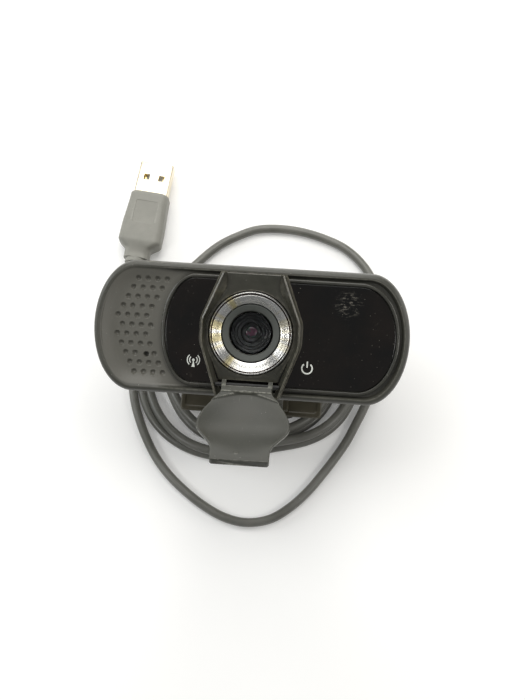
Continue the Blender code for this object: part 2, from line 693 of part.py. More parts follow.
def make_clip_plate():
    top = PLATE_BOTTOM + PLATE_THICK
    edge = 0.8 * MM
    rings = [
        plan(PLATE_WIDTH, PLATE_FRONT, PLATE_BACK, PLATE_CORNER, PLATE_BOTTOM),
        plan(PLATE_WIDTH, PLATE_FRONT, PLATE_BACK, PLATE_CORNER, top - edge),
        plan(PLATE_WIDTH - 2 * edge, PLATE_FRONT + edge, PLATE_BACK - edge, PLATE_CORNER - edge, top),
        plan(PLATE_WIDTH - 5 * edge, PLATE_FRONT + 2.5 * edge, PLATE_BACK - 2.5 * edge, PLATE_CORNER - edge, top),
        plan(PLATE_WIDTH - 6 * edge, PLATE_FRONT + 3 * edge, PLATE_BACK - 3 * edge, PLATE_CORNER - edge, top - edge / 2),
    ]
    plate = from_bmesh("clip_plate", loft(rings), "black_plastic")
    lip = block((-PLATE_WIDTH / 2 + PLATE_CORNER, PLATE_FRONT + 0.05 * MM, PLATE_BOTTOM - LIP_DROP),
                (PLATE_WIDTH / 2 - PLATE_CORNER, PLATE_FRONT + LIP_THICK, PLATE_BOTTOM + WALL))
    combine(plate, cutter("lip", lip), "UNION")
    inner = LEG_WIDTH / 2 + GAP
    axis = leg_axis()
    for index, side in enumerate((-1, 1)):
        low = min(side * inner, side * (inner + EAR_WIDTH))
        high = max(side * inner, side * (inner + EAR_WIDTH))
        ear = hinge_tab(low, high, LEG_BARREL, PLATE_BOTTOM + WALL - axis[2], axis)
        combine(plate, cutter(f"leg_ear_{index}", ear), "UNION")
    bore = lay(rod(LEG_PIN + RUNNING, -PLATE_WIDTH, PLATE_WIDTH, (0.0, 0.0), 16), ALONG_X, leg_axis())
    combine(plate, cutter("leg_pin_bore", bore))
    for index, spot in enumerate(neck_screw_places()):
        hole = lay(rod(SCREW_RADIUS + GAP, -top * 2, top * 2, (0.0, 0.0), 12), ALONG_Z, spot)
        combine(plate, cutter(f"neck_screw_hole_{index}", hole))
        sink = block((spot[0] - SCREW_HEAD - GAP, spot[1] - SCREW_HEAD - GAP, PLATE_BOTTOM - WALL),
                     (spot[0] + SCREW_HEAD + GAP, spot[1] + SCREW_HEAD + GAP, PLATE_BOTTOM + HEAD_THICK + 2 * GAP))
        combine(plate, cutter(f"neck_screw_sink_{index}", sink))
    return plate


def leg_axis():
    return (0.0, LEG_AXIS_Y, FOOT_THICK + GAP + LEG_THICK / 2)


def neck_screw_places():
    spread = NECK_WIDTH / 2 + 3.6 * MM
    return [(side * spread, HINGE_Y + 4.0 * MM, 0.0) for side in (-1, 1)]


def make_neck():
    """A foot that is screwed to the plate, and a barrel for the tilt pin between the head's lugs."""
    base = PLATE_BOTTOM + PLATE_THICK - 0.4 * MM + GAP
    foot_top = base + 2.4 * MM
    spread = NECK_WIDTH / 2 + 3.6 * MM
    foot = block((-spread - 2.6 * MM, HINGE_Y + 0.6 * MM, base), (spread + 2.6 * MM, HINGE_Y + 7.4 * MM, foot_top), 0.5 * MM)
    neck = from_bmesh("tilt_neck", foot, "black_plastic")
    half = NECK_WIDTH / 2
    post = hinge_tab(-half, half, BARREL, base + 0.1 * MM - HINGE_Z, (0.0, HINGE_Y, HINGE_Z))
    combine(neck, cutter("neck_post", post), "UNION")
    bore = lay(rod(TILT_PIN + RUNNING, -NECK_WIDTH, NECK_WIDTH, (0.0, 0.0), 20), ALONG_X, (0.0, HINGE_Y, HINGE_Z))
    combine(neck, cutter("neck_bore", bore))
    for index, spot in enumerate(neck_screw_places()):
        hole = lay(rod(SCREW_RADIUS + GAP, 0.0, foot_top - 0.8 * MM, (0.0, 0.0), 12), ALONG_Z, spot)
        combine(neck, cutter(f"neck_hole_{index}", hole))
        low = PLATE_BOTTOM + 0.2 * MM
        rings = [
            circle(SCREW_HEAD, low, steps=12),
            circle(SCREW_HEAD, low + HEAD_THICK, steps=12),
            circle(SCREW_RADIUS, low + HEAD_THICK, steps=12),
            circle(SCREW_RADIUS, foot_top - 0.8 * MM - GAP, steps=12),
        ]
        screw = lay(loft(rings), ALONG_Z, spot)
        from_bmesh(f"neck_screw_{index + 1}", screw, "steel")


def make_tilt_pin():
    reach = NECK_WIDTH / 2 + WASHER_THICK + 2 * GAP + LUG_WIDTH
    pin = lay(rod(TILT_PIN, -reach, reach, (0.0, 0.0), 16), ALONG_X, (0.0, HINGE_Y, HINGE_Z))
    from_bmesh("tilt_pin", pin, "steel")
    for name, side in (("left", -1), ("right", 1)):
        near = side * (NECK_WIDTH / 2 + GAP)
        far = side * (NECK_WIDTH / 2 + GAP + WASHER_THICK)
        low, high = min(near, far), max(near, far)
        profile = [(BARREL - 0.2 * MM, low), (BARREL - 0.2 * MM, high),
                   (TILT_PIN + RUNNING, high), (TILT_PIN + RUNNING, low)]
        washer = lay(turned(profile, steps=20), ALONG_X, (0.0, HINGE_Y, HINGE_Z))
        from_bmesh(f"friction_washer_{name}", washer, "steel")


def make_jaw_pad():
    low = PLATE_BOTTOM - GAP - JAW_PAD_THICK
    front = HINGE_Y + 4.0 * MM + SCREW_HEAD + 3 * GAP
    back = leg_axis()[1] - LEG_BARREL - 3 * MM
    from_bmesh("jaw_pad", block((-LEG_WIDTH / 2, front, low), (LEG_WIDTH / 2, back, low + JAW_PAD_THICK)), "rubber")


def make_leg(leg):
    """The leg folds flat under the plate, and turns down about a pin at the plate's back."""
    axis = leg_axis()
    low = FOOT_THICK + GAP
    high = low + LEG_THICK
    back = axis[1]
    rings = []
    for inset, height in ((0.8 * MM, low), (0.0, low + 0.8 * MM), (0.0, high)):
        ring = plan(LEG_WIDTH - 2 * inset, LEG_FRONT + inset, back, 3.0 * MM, height)
        rings.append([(x - axis[0], y - axis[1], z - axis[2]) for x, y, z in ring])
    body = from_bmesh("clip_leg", loft(rings), "black_plastic", leg)
    half = LEG_WIDTH / 2
    barrel = lay(rod(LEG_BARREL, -half, half, (0.0, 0.0), 24), ALONG_X)
    combine(body, cutter("leg_barrel", barrel, leg), "UNION")
    bore = lay(rod(LEG_PIN + RUNNING, -PLATE_WIDTH, PLATE_WIDTH, (0.0, 0.0), 16), ALONG_X)
    combine(body, cutter("leg_bore", bore, leg))
    middle = (0.0, INSERT_Y - axis[1], -axis[2])
    room = lay(rod(INSERT_BORE + INSERT_WALL + GAP, 0.0, high * 2, (0.0, 0.0), 24), ALONG_Z, middle)
    combine(body, cutter("insert_room", room, leg))
    insert = lay(turned([
        (INSERT_BORE + INSERT_WALL, FOOT_THICK * 0.5),
        (INSERT_BORE + INSERT_WALL, high - 0.2 * MM),
        (INSERT_BORE, high - 0.2 * MM),
        (INSERT_BORE, FOOT_THICK * 0.5),
    ], steps=24), ALONG_Z, middle)
    from_bmesh("tripod_insert", insert, "brass", leg)
    front = LEG_FRONT + FOOT_MARGIN - axis[1]
    rear = -LEG_BARREL - FOOT_MARGIN
    foot = from_bmesh("foot_pad", block((-half + FOOT_MARGIN, front, -axis[2]),
                                        (half - FOOT_MARGIN, rear, FOOT_THICK - axis[2])), "rubber", leg)
    window = lay(rod(INSERT_BORE + INSERT_WALL + GAP, -high * 2, high, (0.0, 0.0), 24), ALONG_Z, middle)
    combine(foot, cutter("foot_window", window, leg))


def make_leg_pin():
    reach = LEG_WIDTH / 2 + GAP + EAR_WIDTH
    pin = lay(rod(LEG_PIN, -reach, reach, (0.0, 0.0), 16), ALONG_X, leg_axis())
    from_bmesh("leg_pin", pin, "steel")


# Lead

def tube(name, points):
    """A lead along these points, as a curve with a round bevel and filled ends."""
    curve = bpy.data.curves.new(name, "CURVE")
    curve.dimensions = "3D"
    curve.bevel_depth = CORD_RADIUS
    curve.bevel_resolution = 2
    curve.use_fill_caps = True
    line = curve.splines.new("POLY")
    line.points.add(len(points) - 1)
    for spot, place in zip(line.points, points):
        spot.co = (*place, 1.0)
    curve.materials.append(finish("cord_jacket"))
    obj = bpy.data.objects.new(name, curve)
    bpy.context.scene.collection.objects.link(obj)
    return obj


def smooth_route(route, spacing):
    """Evenly spaced points on a centripetal curve through the route's own points."""
    knots = [Vector(spot) for spot in route]
    knots = [knots[0] * 2 - knots[1]] + knots + [knots[-1] * 2 - knots[-2]]
    fine = []
    for p0, p1, p2, p3 in zip(knots, knots[1:], knots[2:], knots[3:]):
        t1 = (p1 - p0).length ** 0.5
        t2 = t1 + (p2 - p1).length ** 0.5
        t3 = t2 + (p3 - p2).length ** 0.5
        for step in range(12):
            t = t1 + (t2 - t1) * step / 12
            a1 = p0 * ((t1 - t) / t1) + p1 * (t / t1)
            a2 = p1 * ((t2 - t) / (t2 - t1)) + p2 * ((t - t1) / (t2 - t1))
            a3 = p2 * ((t3 - t) / (t3 - t2)) + p3 * ((t - t2) / (t3 - t2))
            b1 = a1 * ((t2 - t) / t2) + a2 * (t / t2)
            b2 = a2 * ((t3 - t) / (t3 - t1)) + a3 * ((t - t1) / (t3 - t1))
            fine.append(b1 * ((t2 - t) / (t2 - t1)) + b2 * ((t - t1) / (t2 - t1)))
    fine.append(knots[-2])
    total = sum((b - a).length for a, b in zip(fine, fine[1:]))
    count = max(4, round(total / spacing))
    points = [fine[0]]
    walked = 0.0
    for a, b in zip(fine, fine[1:]):
        piece = (b - a).length
        while piece and len(points) < count and walked + piece >= total * len(points) / count:
            share = (total * len(points) / count - walked) / piece
            points.append(a.lerp(b, share))
        walked += piece
    points.append(fine[-1])
    return points


# Where the lead lies between the gland and the coil, and between the coil and the plug, in millimetres.
START_ROUTE = [
    (-30.0, 5.0, 14.9), (-30.2, 6.3, 12.0), (-30.4, 8.6, 9.9), (-30.4, 11.6, 8.9), (-29.8, 15.5, 8.8),
]
LOOP_ROUTE = [
    (-36.3, 26.0, 1.6), (-33.2, 33.5, 1.6), (-28.3, 40.6, 1.6), (-23.3, 46.1, 1.6), (-19.6, 50.2, 1.6),
    (-15.2, 54.1, 1.6), (-9.8, 57.4, 1.6), (-3.6, 60.2, 1.6), (3.0, 61.1, 1.6), (11.3, 60.7, 1.6),
    (19.9, 58.7, 1.6), (28.6, 54.9, 1.6), (35.6, 48.4, 1.6), (40.0, 40.0, 1.6), (42.2, 30.0, 1.6),
    (42.4, 19.0, 1.6), (40.8, 8.0, 1.6), (37.6, -1.7, 1.6), (34.7, -8.4, 1.6), (32.3, -13.7, 1.6),
    (28.9, -19.4, 1.6), (25.0, -25.2, 1.6), (20.4, -31.4, 1.6), (15.0, -37.0, 1.6), (8.6, -41.4, 1.6),
    (1.0, -43.1, 1.6), (-6.4, -41.9, 1.6), (-13.8, -38.4, 1.6), (-20.9, -33.5, 1.6), (-26.5, -28.6, 1.6),
    (-30.9, -23.4, 1.6), (-34.4, -17.8, 1.6), (-37.3, -11.9, 1.6), (-39.8, -5.2, 1.6), (-41.6, 3.0, 1.6),
    (-43.2, 12.0, 1.7), (-44.6, 21.0, 2.2), (-45.4, 29.0, 3.2), (-45.3, 36.2, 4.2),
]


def make_gland(head):
    """A tapered relief on the back, with the lead's first turn below it."""
    tip = BODY_DEPTH + GLAND_LENGTH
    centre = (GLAND_X, GLAND_Z)
    rings = [
        circle(GLAND_TIP, BODY_DEPTH - WALL * 0.5, centre, 16),
        circle(GLAND_TIP, BODY_DEPTH + GAP, centre, 16),
        circle(GLAND_ROOT, BODY_DEPTH + GAP, centre, 16),
        circle(GLAND_ROOT, BODY_DEPTH + 1.3 * MM, centre, 16),
        circle(GLAND_TIP, tip, centre, 16),
    ]
    from_bmesh("cord_gland", loft(rings), "rubber", head)


def make_lead():
    tube("cord_start", [spot * MM for spot in smooth_route(START_ROUTE, 3.6)])
    tube("cord_loop", [spot * MM for spot in smooth_route(LOOP_ROUTE, 5.6)])
    corner = 1.6 * MM
    profile = []
    for radius, height, start in ((COIL_OUTER - corner, COIL_HEIGHT - corner, 0),
                                  (COIL_INNER + corner, COIL_HEIGHT - corner, 90),
                                  (COIL_INNER + corner, corner, 180), (COIL_OUTER - corner, corner, 270)):
        for step in range(4):
            angle = math.radians(start + 30 * step)
            profile.append((radius + corner * math.cos(angle), height + corner * math.sin(angle)))
    ring = turned(profile, steps=44)
    from_bmesh("cord_coil", lay(ring, ALONG_Z, (COIL_X, COIL_Y, 0.0)), "cord_jacket")


# USB plug, modelled about its own axis with +Y towards its mouth and its flat side down

def plug_section(half_width, half_height, corner, along, steps=3):
    points = []
    for sign_x, sign_z, start in ((1, 1, 0), (-1, 1, 90), (-1, -1, 180), (1, -1, 270)):
        for index in range(steps + 1):
            angle = math.radians(start + 90 * index / steps)
            points.append((sign_x * (half_width - corner) + corner * math.cos(angle), along,
                           sign_z * (half_height - corner) + corner * math.sin(angle)))
    return points


def make_plug(plug):
    half = HOUSING_WIDTH / 2
    tall = HOUSING_THICK / 2
    stations = [
        (0.0, 0.32, 0.62), (0.04, 0.34, 0.68), (0.10, 0.44, 0.80), (0.16, 0.72, 0.92), (0.22, 0.93, 0.99),
        (0.30, 1.0, 1.0), (0.55, 0.96, 1.0), (0.94, 0.90, 1.0), (1.0, 0.86, 0.93),
    ]
    rings = []
    for share, wide, high in stations:
        rings.append(plug_section(half * wide, tall * high, min(2.2 * MM, half * wide * 0.8),
                                  share * HOUSING_LENGTH))
    housing = from_bmesh("plug_housing", loft(rings), "black_plastic", plug)
    mouth = HOUSING_LENGTH - 3.0 * MM
    room = loft([plug_section(SHELL_WIDTH / 2 + GAP, SHELL_HEIGHT / 2 + GAP, 0.5 * MM, mouth),
                 plug_section(SHELL_WIDTH / 2 + GAP, SHELL_HEIGHT / 2 + GAP, 0.5 * MM, HOUSING_LENGTH * 2)])
    combine(housing, cutter("plug_room", room, plug))
    back = mouth + GAP
    front = HOUSING_LENGTH + SHELL_LENGTH
    outer = (SHELL_WIDTH / 2, SHELL_HEIGHT / 2)
    inner = (SHELL_WIDTH / 2 - SHELL_WALL, SHELL_HEIGHT / 2 - SHELL_WALL)
    shell = from_bmesh("plug_shell", hoop([
        plug_section(*outer, 0.5 * MM, back), plug_section(*outer, 0.5 * MM, front),
        plug_section(*inner, 0.3 * MM, front), plug_section(*inner, 0.3 * MM, back),
    ]), "steel", plug)
    for index, side in enumerate((-1, 1)):
        spot = side * SHELL_WIDTH * 0.22
        near = HOUSING_LENGTH + SHELL_LENGTH * 0.42
        window = block((spot - 1.1 * MM, near, 0.0), (spot + 1.1 * MM, near + 2.3 * MM, SHELL_HEIGHT))
        combine(shell, cutter(f"shell_window_{index}", window, plug))
    low = -SHELL_HEIGHT / 2 + SHELL_WALL + GAP
    tongue = block((-SHELL_WIDTH / 2 + SHELL_WALL + GAP, back, low),
                   (SHELL_WIDTH / 2 - SHELL_WALL - GAP, front - 0.6 * MM, low + TONGUE_THICK))
    from_bmesh("plug_tongue", tongue, "clear_plastic", plug)
    for index, spot in enumerate((-3.5 * MM, -1.0 * MM, 1.0 * MM, 3.5 * MM)):
        high = low + TONGUE_THICK + GAP
        contact = block((spot - CONTACT_WIDTH / 2, HOUSING_LENGTH + 3.0 * MM, high),
                        (spot + CONTACT_WIDTH / 2, front - 1.6 * MM, high + 0.2 * MM))
        from_bmesh(f"plug_contact_{index + 1}", contact, "gold_contact", plug)
    relief = loft([
        circle(CORD_RADIUS + 0.5 * MM, -GAP - RELIEF_LENGTH, steps=16),
        circle(RELIEF_RADIUS * 0.85, -GAP - RELIEF_LENGTH * 0.75, steps=16),
        circle(RELIEF_RADIUS, -GAP - RELIEF_LENGTH * 0.2, steps=16),
        circle(RELIEF_RADIUS, -GAP, steps=16),
    ])
    from_bmesh("plug_relief", relief, "rubber", plug)


def build():
    clear_scene()
    tilt = empty("head_tilt_axis", (0.0, HINGE_Y, HINGE_Z), (math.radians(-HEAD_LEAN), 0.0, 0.0))
    head = empty("lens_axis", (0.0, -HINGE_BEHIND, HINGE_BELOW), parent=tilt)
    flap = empty("flap_axis", (0.0, -FLAP_HINGE_OUT, FLAP_HINGE_Z), (math.radians(FLAP_OPEN), 0.0, 0.0), head)
    leg = empty("leg_hinge_axis", leg_axis())
    plug = empty("plug_axis", (*PLUG_NECK, PLUG_Z), (0.0, 0.0, math.radians(PLUG_TURN)))
    make_front_shell(head)
    make_rear_shell(head)
    make_case_screws(head)
    make_front_panel(head)
    make_lens(head)
    make_electronics(head)
    make_cover(head)
    make_flap(flap)
    make_flap_pin(head)
    make_clip_plate()
    make_neck()
    make_tilt_pin()
    make_jaw_pad()
    make_leg(leg)
    make_leg_pin()
    make_gland(head)
    make_lead()
    make_plug(plug)


build()
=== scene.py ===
import json
import math

import bmesh
import bpy
import numpy as np
from mathutils import Matrix, Vector


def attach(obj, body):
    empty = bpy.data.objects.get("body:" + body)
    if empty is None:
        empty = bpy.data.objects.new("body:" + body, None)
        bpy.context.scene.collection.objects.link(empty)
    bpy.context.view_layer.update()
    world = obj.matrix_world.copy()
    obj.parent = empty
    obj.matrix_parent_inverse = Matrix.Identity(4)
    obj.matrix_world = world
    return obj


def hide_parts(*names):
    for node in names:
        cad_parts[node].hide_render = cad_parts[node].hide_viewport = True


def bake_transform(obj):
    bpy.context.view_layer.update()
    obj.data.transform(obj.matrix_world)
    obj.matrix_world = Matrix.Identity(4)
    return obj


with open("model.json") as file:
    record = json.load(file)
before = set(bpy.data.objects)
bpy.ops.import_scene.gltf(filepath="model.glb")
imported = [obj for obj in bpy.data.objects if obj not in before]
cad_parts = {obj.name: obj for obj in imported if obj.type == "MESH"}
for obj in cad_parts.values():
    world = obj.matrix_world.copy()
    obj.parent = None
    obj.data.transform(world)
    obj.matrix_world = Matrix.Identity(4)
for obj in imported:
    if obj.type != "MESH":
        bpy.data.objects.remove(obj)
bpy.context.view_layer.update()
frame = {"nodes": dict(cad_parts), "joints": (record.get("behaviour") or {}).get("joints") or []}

mm = 0.001
joints = {joint["name"]: joint for joint in frame["joints"]}
print("frame loaded:", len(frame["nodes"]), "nodes")

# Everything below is in millimetres until a mesh is made.
# Places on the head are (across, depth behind the rim, height up the face), with the lens axis at zero.
headPose = {"lean": 69.0, "behind": 20.0, "below": 24.0}
flapPose = {"out": 3.7, "height": -15.3, "open": 132.0}
plugPose = {"neck": (-44.4, 45.0, 4.2), "turn": -6.5}
# depths behind the rim: the gloss panel's face, the recess floor, and the floor's edge where it is a dish
coat = {"front": 0.6, "floor": 1.8, "dishEdge": 0.3}


def turnX(points, degrees):
    # a turn about the X axis
    a = math.radians(degrees)
    x, y, z = np.moveaxis(np.asarray(points, float), -1, 0)
    return np.stack([x, y * math.cos(a) - z * math.sin(a), y * math.sin(a) + z * math.cos(a)], -1)


def onHead(points):
    # from the head's own places to the world: shift to the tilt axis, lean back, move to where that axis is
    shifted = np.asarray(points, float) + [0.0, -headPose["behind"], headPose["below"]]
    return turnX(shifted, -headPose["lean"]) + np.array(joints["head_tilt"]["pos_m"]) / mm


def fromHead(points):
    # the way back from the world to the head's own places
    moved = np.asarray(points, float) - np.array(joints["head_tilt"]["pos_m"]) / mm
    return turnX(moved, headPose["lean"]) - [0.0, -headPose["behind"], headPose["below"]]


def onFlap(points):
    # from the flap's own places, which run up from its hinge when it is closed, to the world
    return onHead(turnX(points, flapPose["open"]) + [0.0, -flapPose["out"], flapPose["height"]])


def onPlug(points):
    # from the plug's own places, with +Y towards its mouth, to the world
    a = math.radians(plugPose["turn"])
    x, y, z = np.moveaxis(np.asarray(points, float), -1, 0)
    turned = np.stack([x * math.cos(a) - y * math.sin(a), x * math.sin(a) + y * math.cos(a), z], -1)
    return turned + np.array(plugPose["neck"])


def inWorld(points):
    return np.asarray(points, float)


# Camera, floor and light

camera = {
    "place": (15.73, -92.24, 358.54),
    "angles": (16.875, 2.116, 3.630),   # turns about X, then the turned Y, then the turned Z
    "lens": 56.06,
    "sensor": 36.0,
}


def makeCamera():
    data = bpy.data.cameras.new("viewCamera")
    data.lens = camera["lens"]
    data.sensor_width = camera["sensor"]
    data.clip_start = 0.01
    data.clip_end = 20.0
    obj = bpy.data.objects.new("viewCamera", data)
    bpy.context.scene.collection.objects.link(obj)
    turns = [Matrix.Rotation(math.radians(a), 4, axis) for a, axis in zip(camera["angles"], "XYZ")]
    obj.matrix_world = Matrix.Translation(Vector(camera["place"]) * mm) @ turns[0] @ turns[1] @ turns[2]
    bpy.context.scene.camera = obj
    bpy.context.scene.view_settings.view_transform = "Standard"


makeCamera()
print("camera set")


# Shared surface effects, as node groups

def startGroup(name, inputs, outputs):
    group = bpy.data.node_groups.new(name, "ShaderNodeTree")
    for label, value in inputs:
        socket = group.interface.new_socket(name=label, in_out="INPUT", socket_type="NodeSocketFloat")
        socket.default_value = value
    for label in outputs:
        group.interface.new_socket(name=label, in_out="OUTPUT", socket_type="NodeSocketFloat")
    return group, group.nodes.new("NodeGroupInput"), group.nodes.new("NodeGroupOutput")


def math2(tree, operation, first, second=None, third=None):
    # a Math node whose inputs are sockets or plain numbers
    node = tree.nodes.new("ShaderNodeMath")
    node.operation = operation
    for socket, value in zip(node.inputs, (first, second, third)):
        if value is None:
            continue
        if isinstance(value, (int, float)):
            socket.default_value = value
        else:
            tree.links.new(value, socket)
    return node.outputs[0]


def product(tree, first, *others):
    # Multiply nodes in a row
    for value in others:
        first = math2(tree, "MULTIPLY", first, value)
    return first


def oneMinus(tree, value):
    return math2(tree, "SUBTRACT", 1.0, value)


def spread(tree, value, low, high):
    # 0 below low, 1 above high, smooth between
    node = tree.nodes.new("ShaderNodeMapRange")
    node.interpolation_type = "SMOOTHSTEP"
    tree.links.new(value, node.inputs["Value"])
    node.inputs["From Min"].default_value = low
    node.inputs["From Max"].default_value = high
    return node.outputs["Result"]


def inMillimetres(tree, stretch=(1.0, 1.0, 1.0)):
    place = tree.nodes.new("ShaderNodeTexCoord")
    scale = tree.nodes.new("ShaderNodeMapping")
    scale.inputs["Scale"].default_value = [s / mm for s in stretch]
    tree.links.new(place.outputs["Object"], scale.inputs["Vector"])
    return scale.outputs["Vector"]


def noise(tree, place, scale, detail=2.0, rough=0.5):
    node = tree.nodes.new("ShaderNodeTexNoise")
    tree.links.new(place, node.inputs["Vector"])
    if isinstance(scale, (int, float)):
        node.inputs["Scale"].default_value = scale
    else:
        tree.links.new(scale, node.inputs["Scale"])
    node.inputs["Detail"].default_value = detail
    node.inputs["Roughness"].default_value = rough
    return node.outputs["Fac"]


def makeGrainGroup():
    # fine mould texture as height, and slow patches as tone
    group, given, result = startGroup("mouldGrain", [("Scale", 2.4), ("Patches", 0.09)], ["Height", "Tone"])
    place = inMillimetres(group)
    fine = noise(group, place, given.outputs["Scale"], 3.0, 0.6)
    coarse = noise(group, place, product(group, given.outputs["Scale"], 0.3))
    group.links.new(math2(group, "MULTIPLY_ADD", coarse, 0.5, fine), result.inputs["Height"])
    group.links.new(spread(group, noise(group, place, given.outputs["Patches"], 4.0, 0.6), 0.3, 0.7),
                    result.inputs["Tone"])
    return group


def makeDustGroup():
    # scattered specks, which are the middles of some cells and lie in slow patches, and a thin film
    group, given, result = startGroup("dustSpecks", [("Scale", 0.9), ("Amount", 0.5)], ["Mask"])
    place = inMillimetres(group)
    cells = group.nodes.new("ShaderNodeTexVoronoi")
    group.links.new(place, cells.inputs["Vector"])
    group.links.new(given.outputs["Scale"], cells.inputs["Scale"])
    speck = oneMinus(group, spread(group, cells.outputs["Distance"], 0.05, 0.11))
    parts = group.nodes.new("ShaderNodeSeparateColor")
    group.links.new(cells.outputs["Color"], parts.inputs["Color"])
    chosen = math2(group, "LESS_THAN", parts.outputs[0], given.outputs["Amount"])
    patchy = spread(group, noise(group, place, 0.07, 3.0, 0.6), 0.38, 0.62)
    dots = product(group, speck, chosen, patchy)
    film = product(group, spread(group, noise(group, place, 0.55, 6.0, 0.75), 0.60, 0.82), 0.30,
                   given.outputs["Amount"])
    group.links.new(math2(group, "MAXIMUM", dots, film), result.inputs["Mask"])
    return group


def makeWearGroup():
    # rubbed edges, and on the trim a painted highlight: the mesh's own measure of how sharply it turns
    # outwards, broken up by noise
    group, given, result = startGroup("edgeWearAndHighlight", [("Amount", 0.5)], ["Mask"])
    edge = group.nodes.new("ShaderNodeAttribute")
    edge.attribute_name = "edge"
    place = inMillimetres(group)
    broken = spread(group, noise(group, place, 0.9, 4.0, 0.65), 0.28, 0.62)
    worn = product(group, edge.outputs["Fac"], broken, given.outputs["Amount"])
    group.links.new(worn, result.inputs["Mask"])
    return group


def makeScuffGroup():
    # thin scratches in two directions, where stretched noise peaks
    group, given, result = startGroup("fineScuffs", [("Amount", 0.5)], ["Mask"])
    strokes = []
    for stretch, scale in (((0.25, 2.2, 2.2), 1.3), ((2.0, 0.22, 0.3), 1.1)):
        place = inMillimetres(group, stretch)
        strokes.append(spread(group, noise(group, place, scale, 3.0, 0.6), 0.66, 0.74))
    group.links.new(product(group, math2(group, "MAXIMUM", *strokes), given.outputs["Amount"]),
                    result.inputs["Mask"])
    return group


effects = {
    "grain": makeGrainGroup(),
    "dust": makeDustGroup(),
    "wearAndHighlight": makeWearGroup(),
    "scuff": makeScuffGroup(),
}


def addEffect(tree, name, **values):
    node = tree.nodes.new("ShaderNodeGroup")
    node.node_tree = effects[name]
    for label, value in values.items():
        node.inputs[label].default_value = value
    return node


def mixColour(tree, share, first, second):
    node = tree.nodes.new("ShaderNodeMix")
    node.data_type = "RGBA"
    tree.links.new(share, node.inputs["Factor"])
    sockets = [s for s in node.inputs if s.type == "RGBA"]
    for socket, value in zip(sockets, (first, second)):
        if isinstance(value, tuple):
            socket.default_value = (*value, 1.0)
        else:
            tree.links.new(value, socket)
    return [s for s in node.outputs if s.type == "RGBA"][0]


def bump(tree, height, depth, distance):
    node = tree.nodes.new("ShaderNodeBump")
    node.inputs["Strength"].default_value = depth
    node.inputs["Distance"].default_value = distance * mm
    tree.links.new(height, node.inputs["Height"])
    return node.outputs["Normal"]


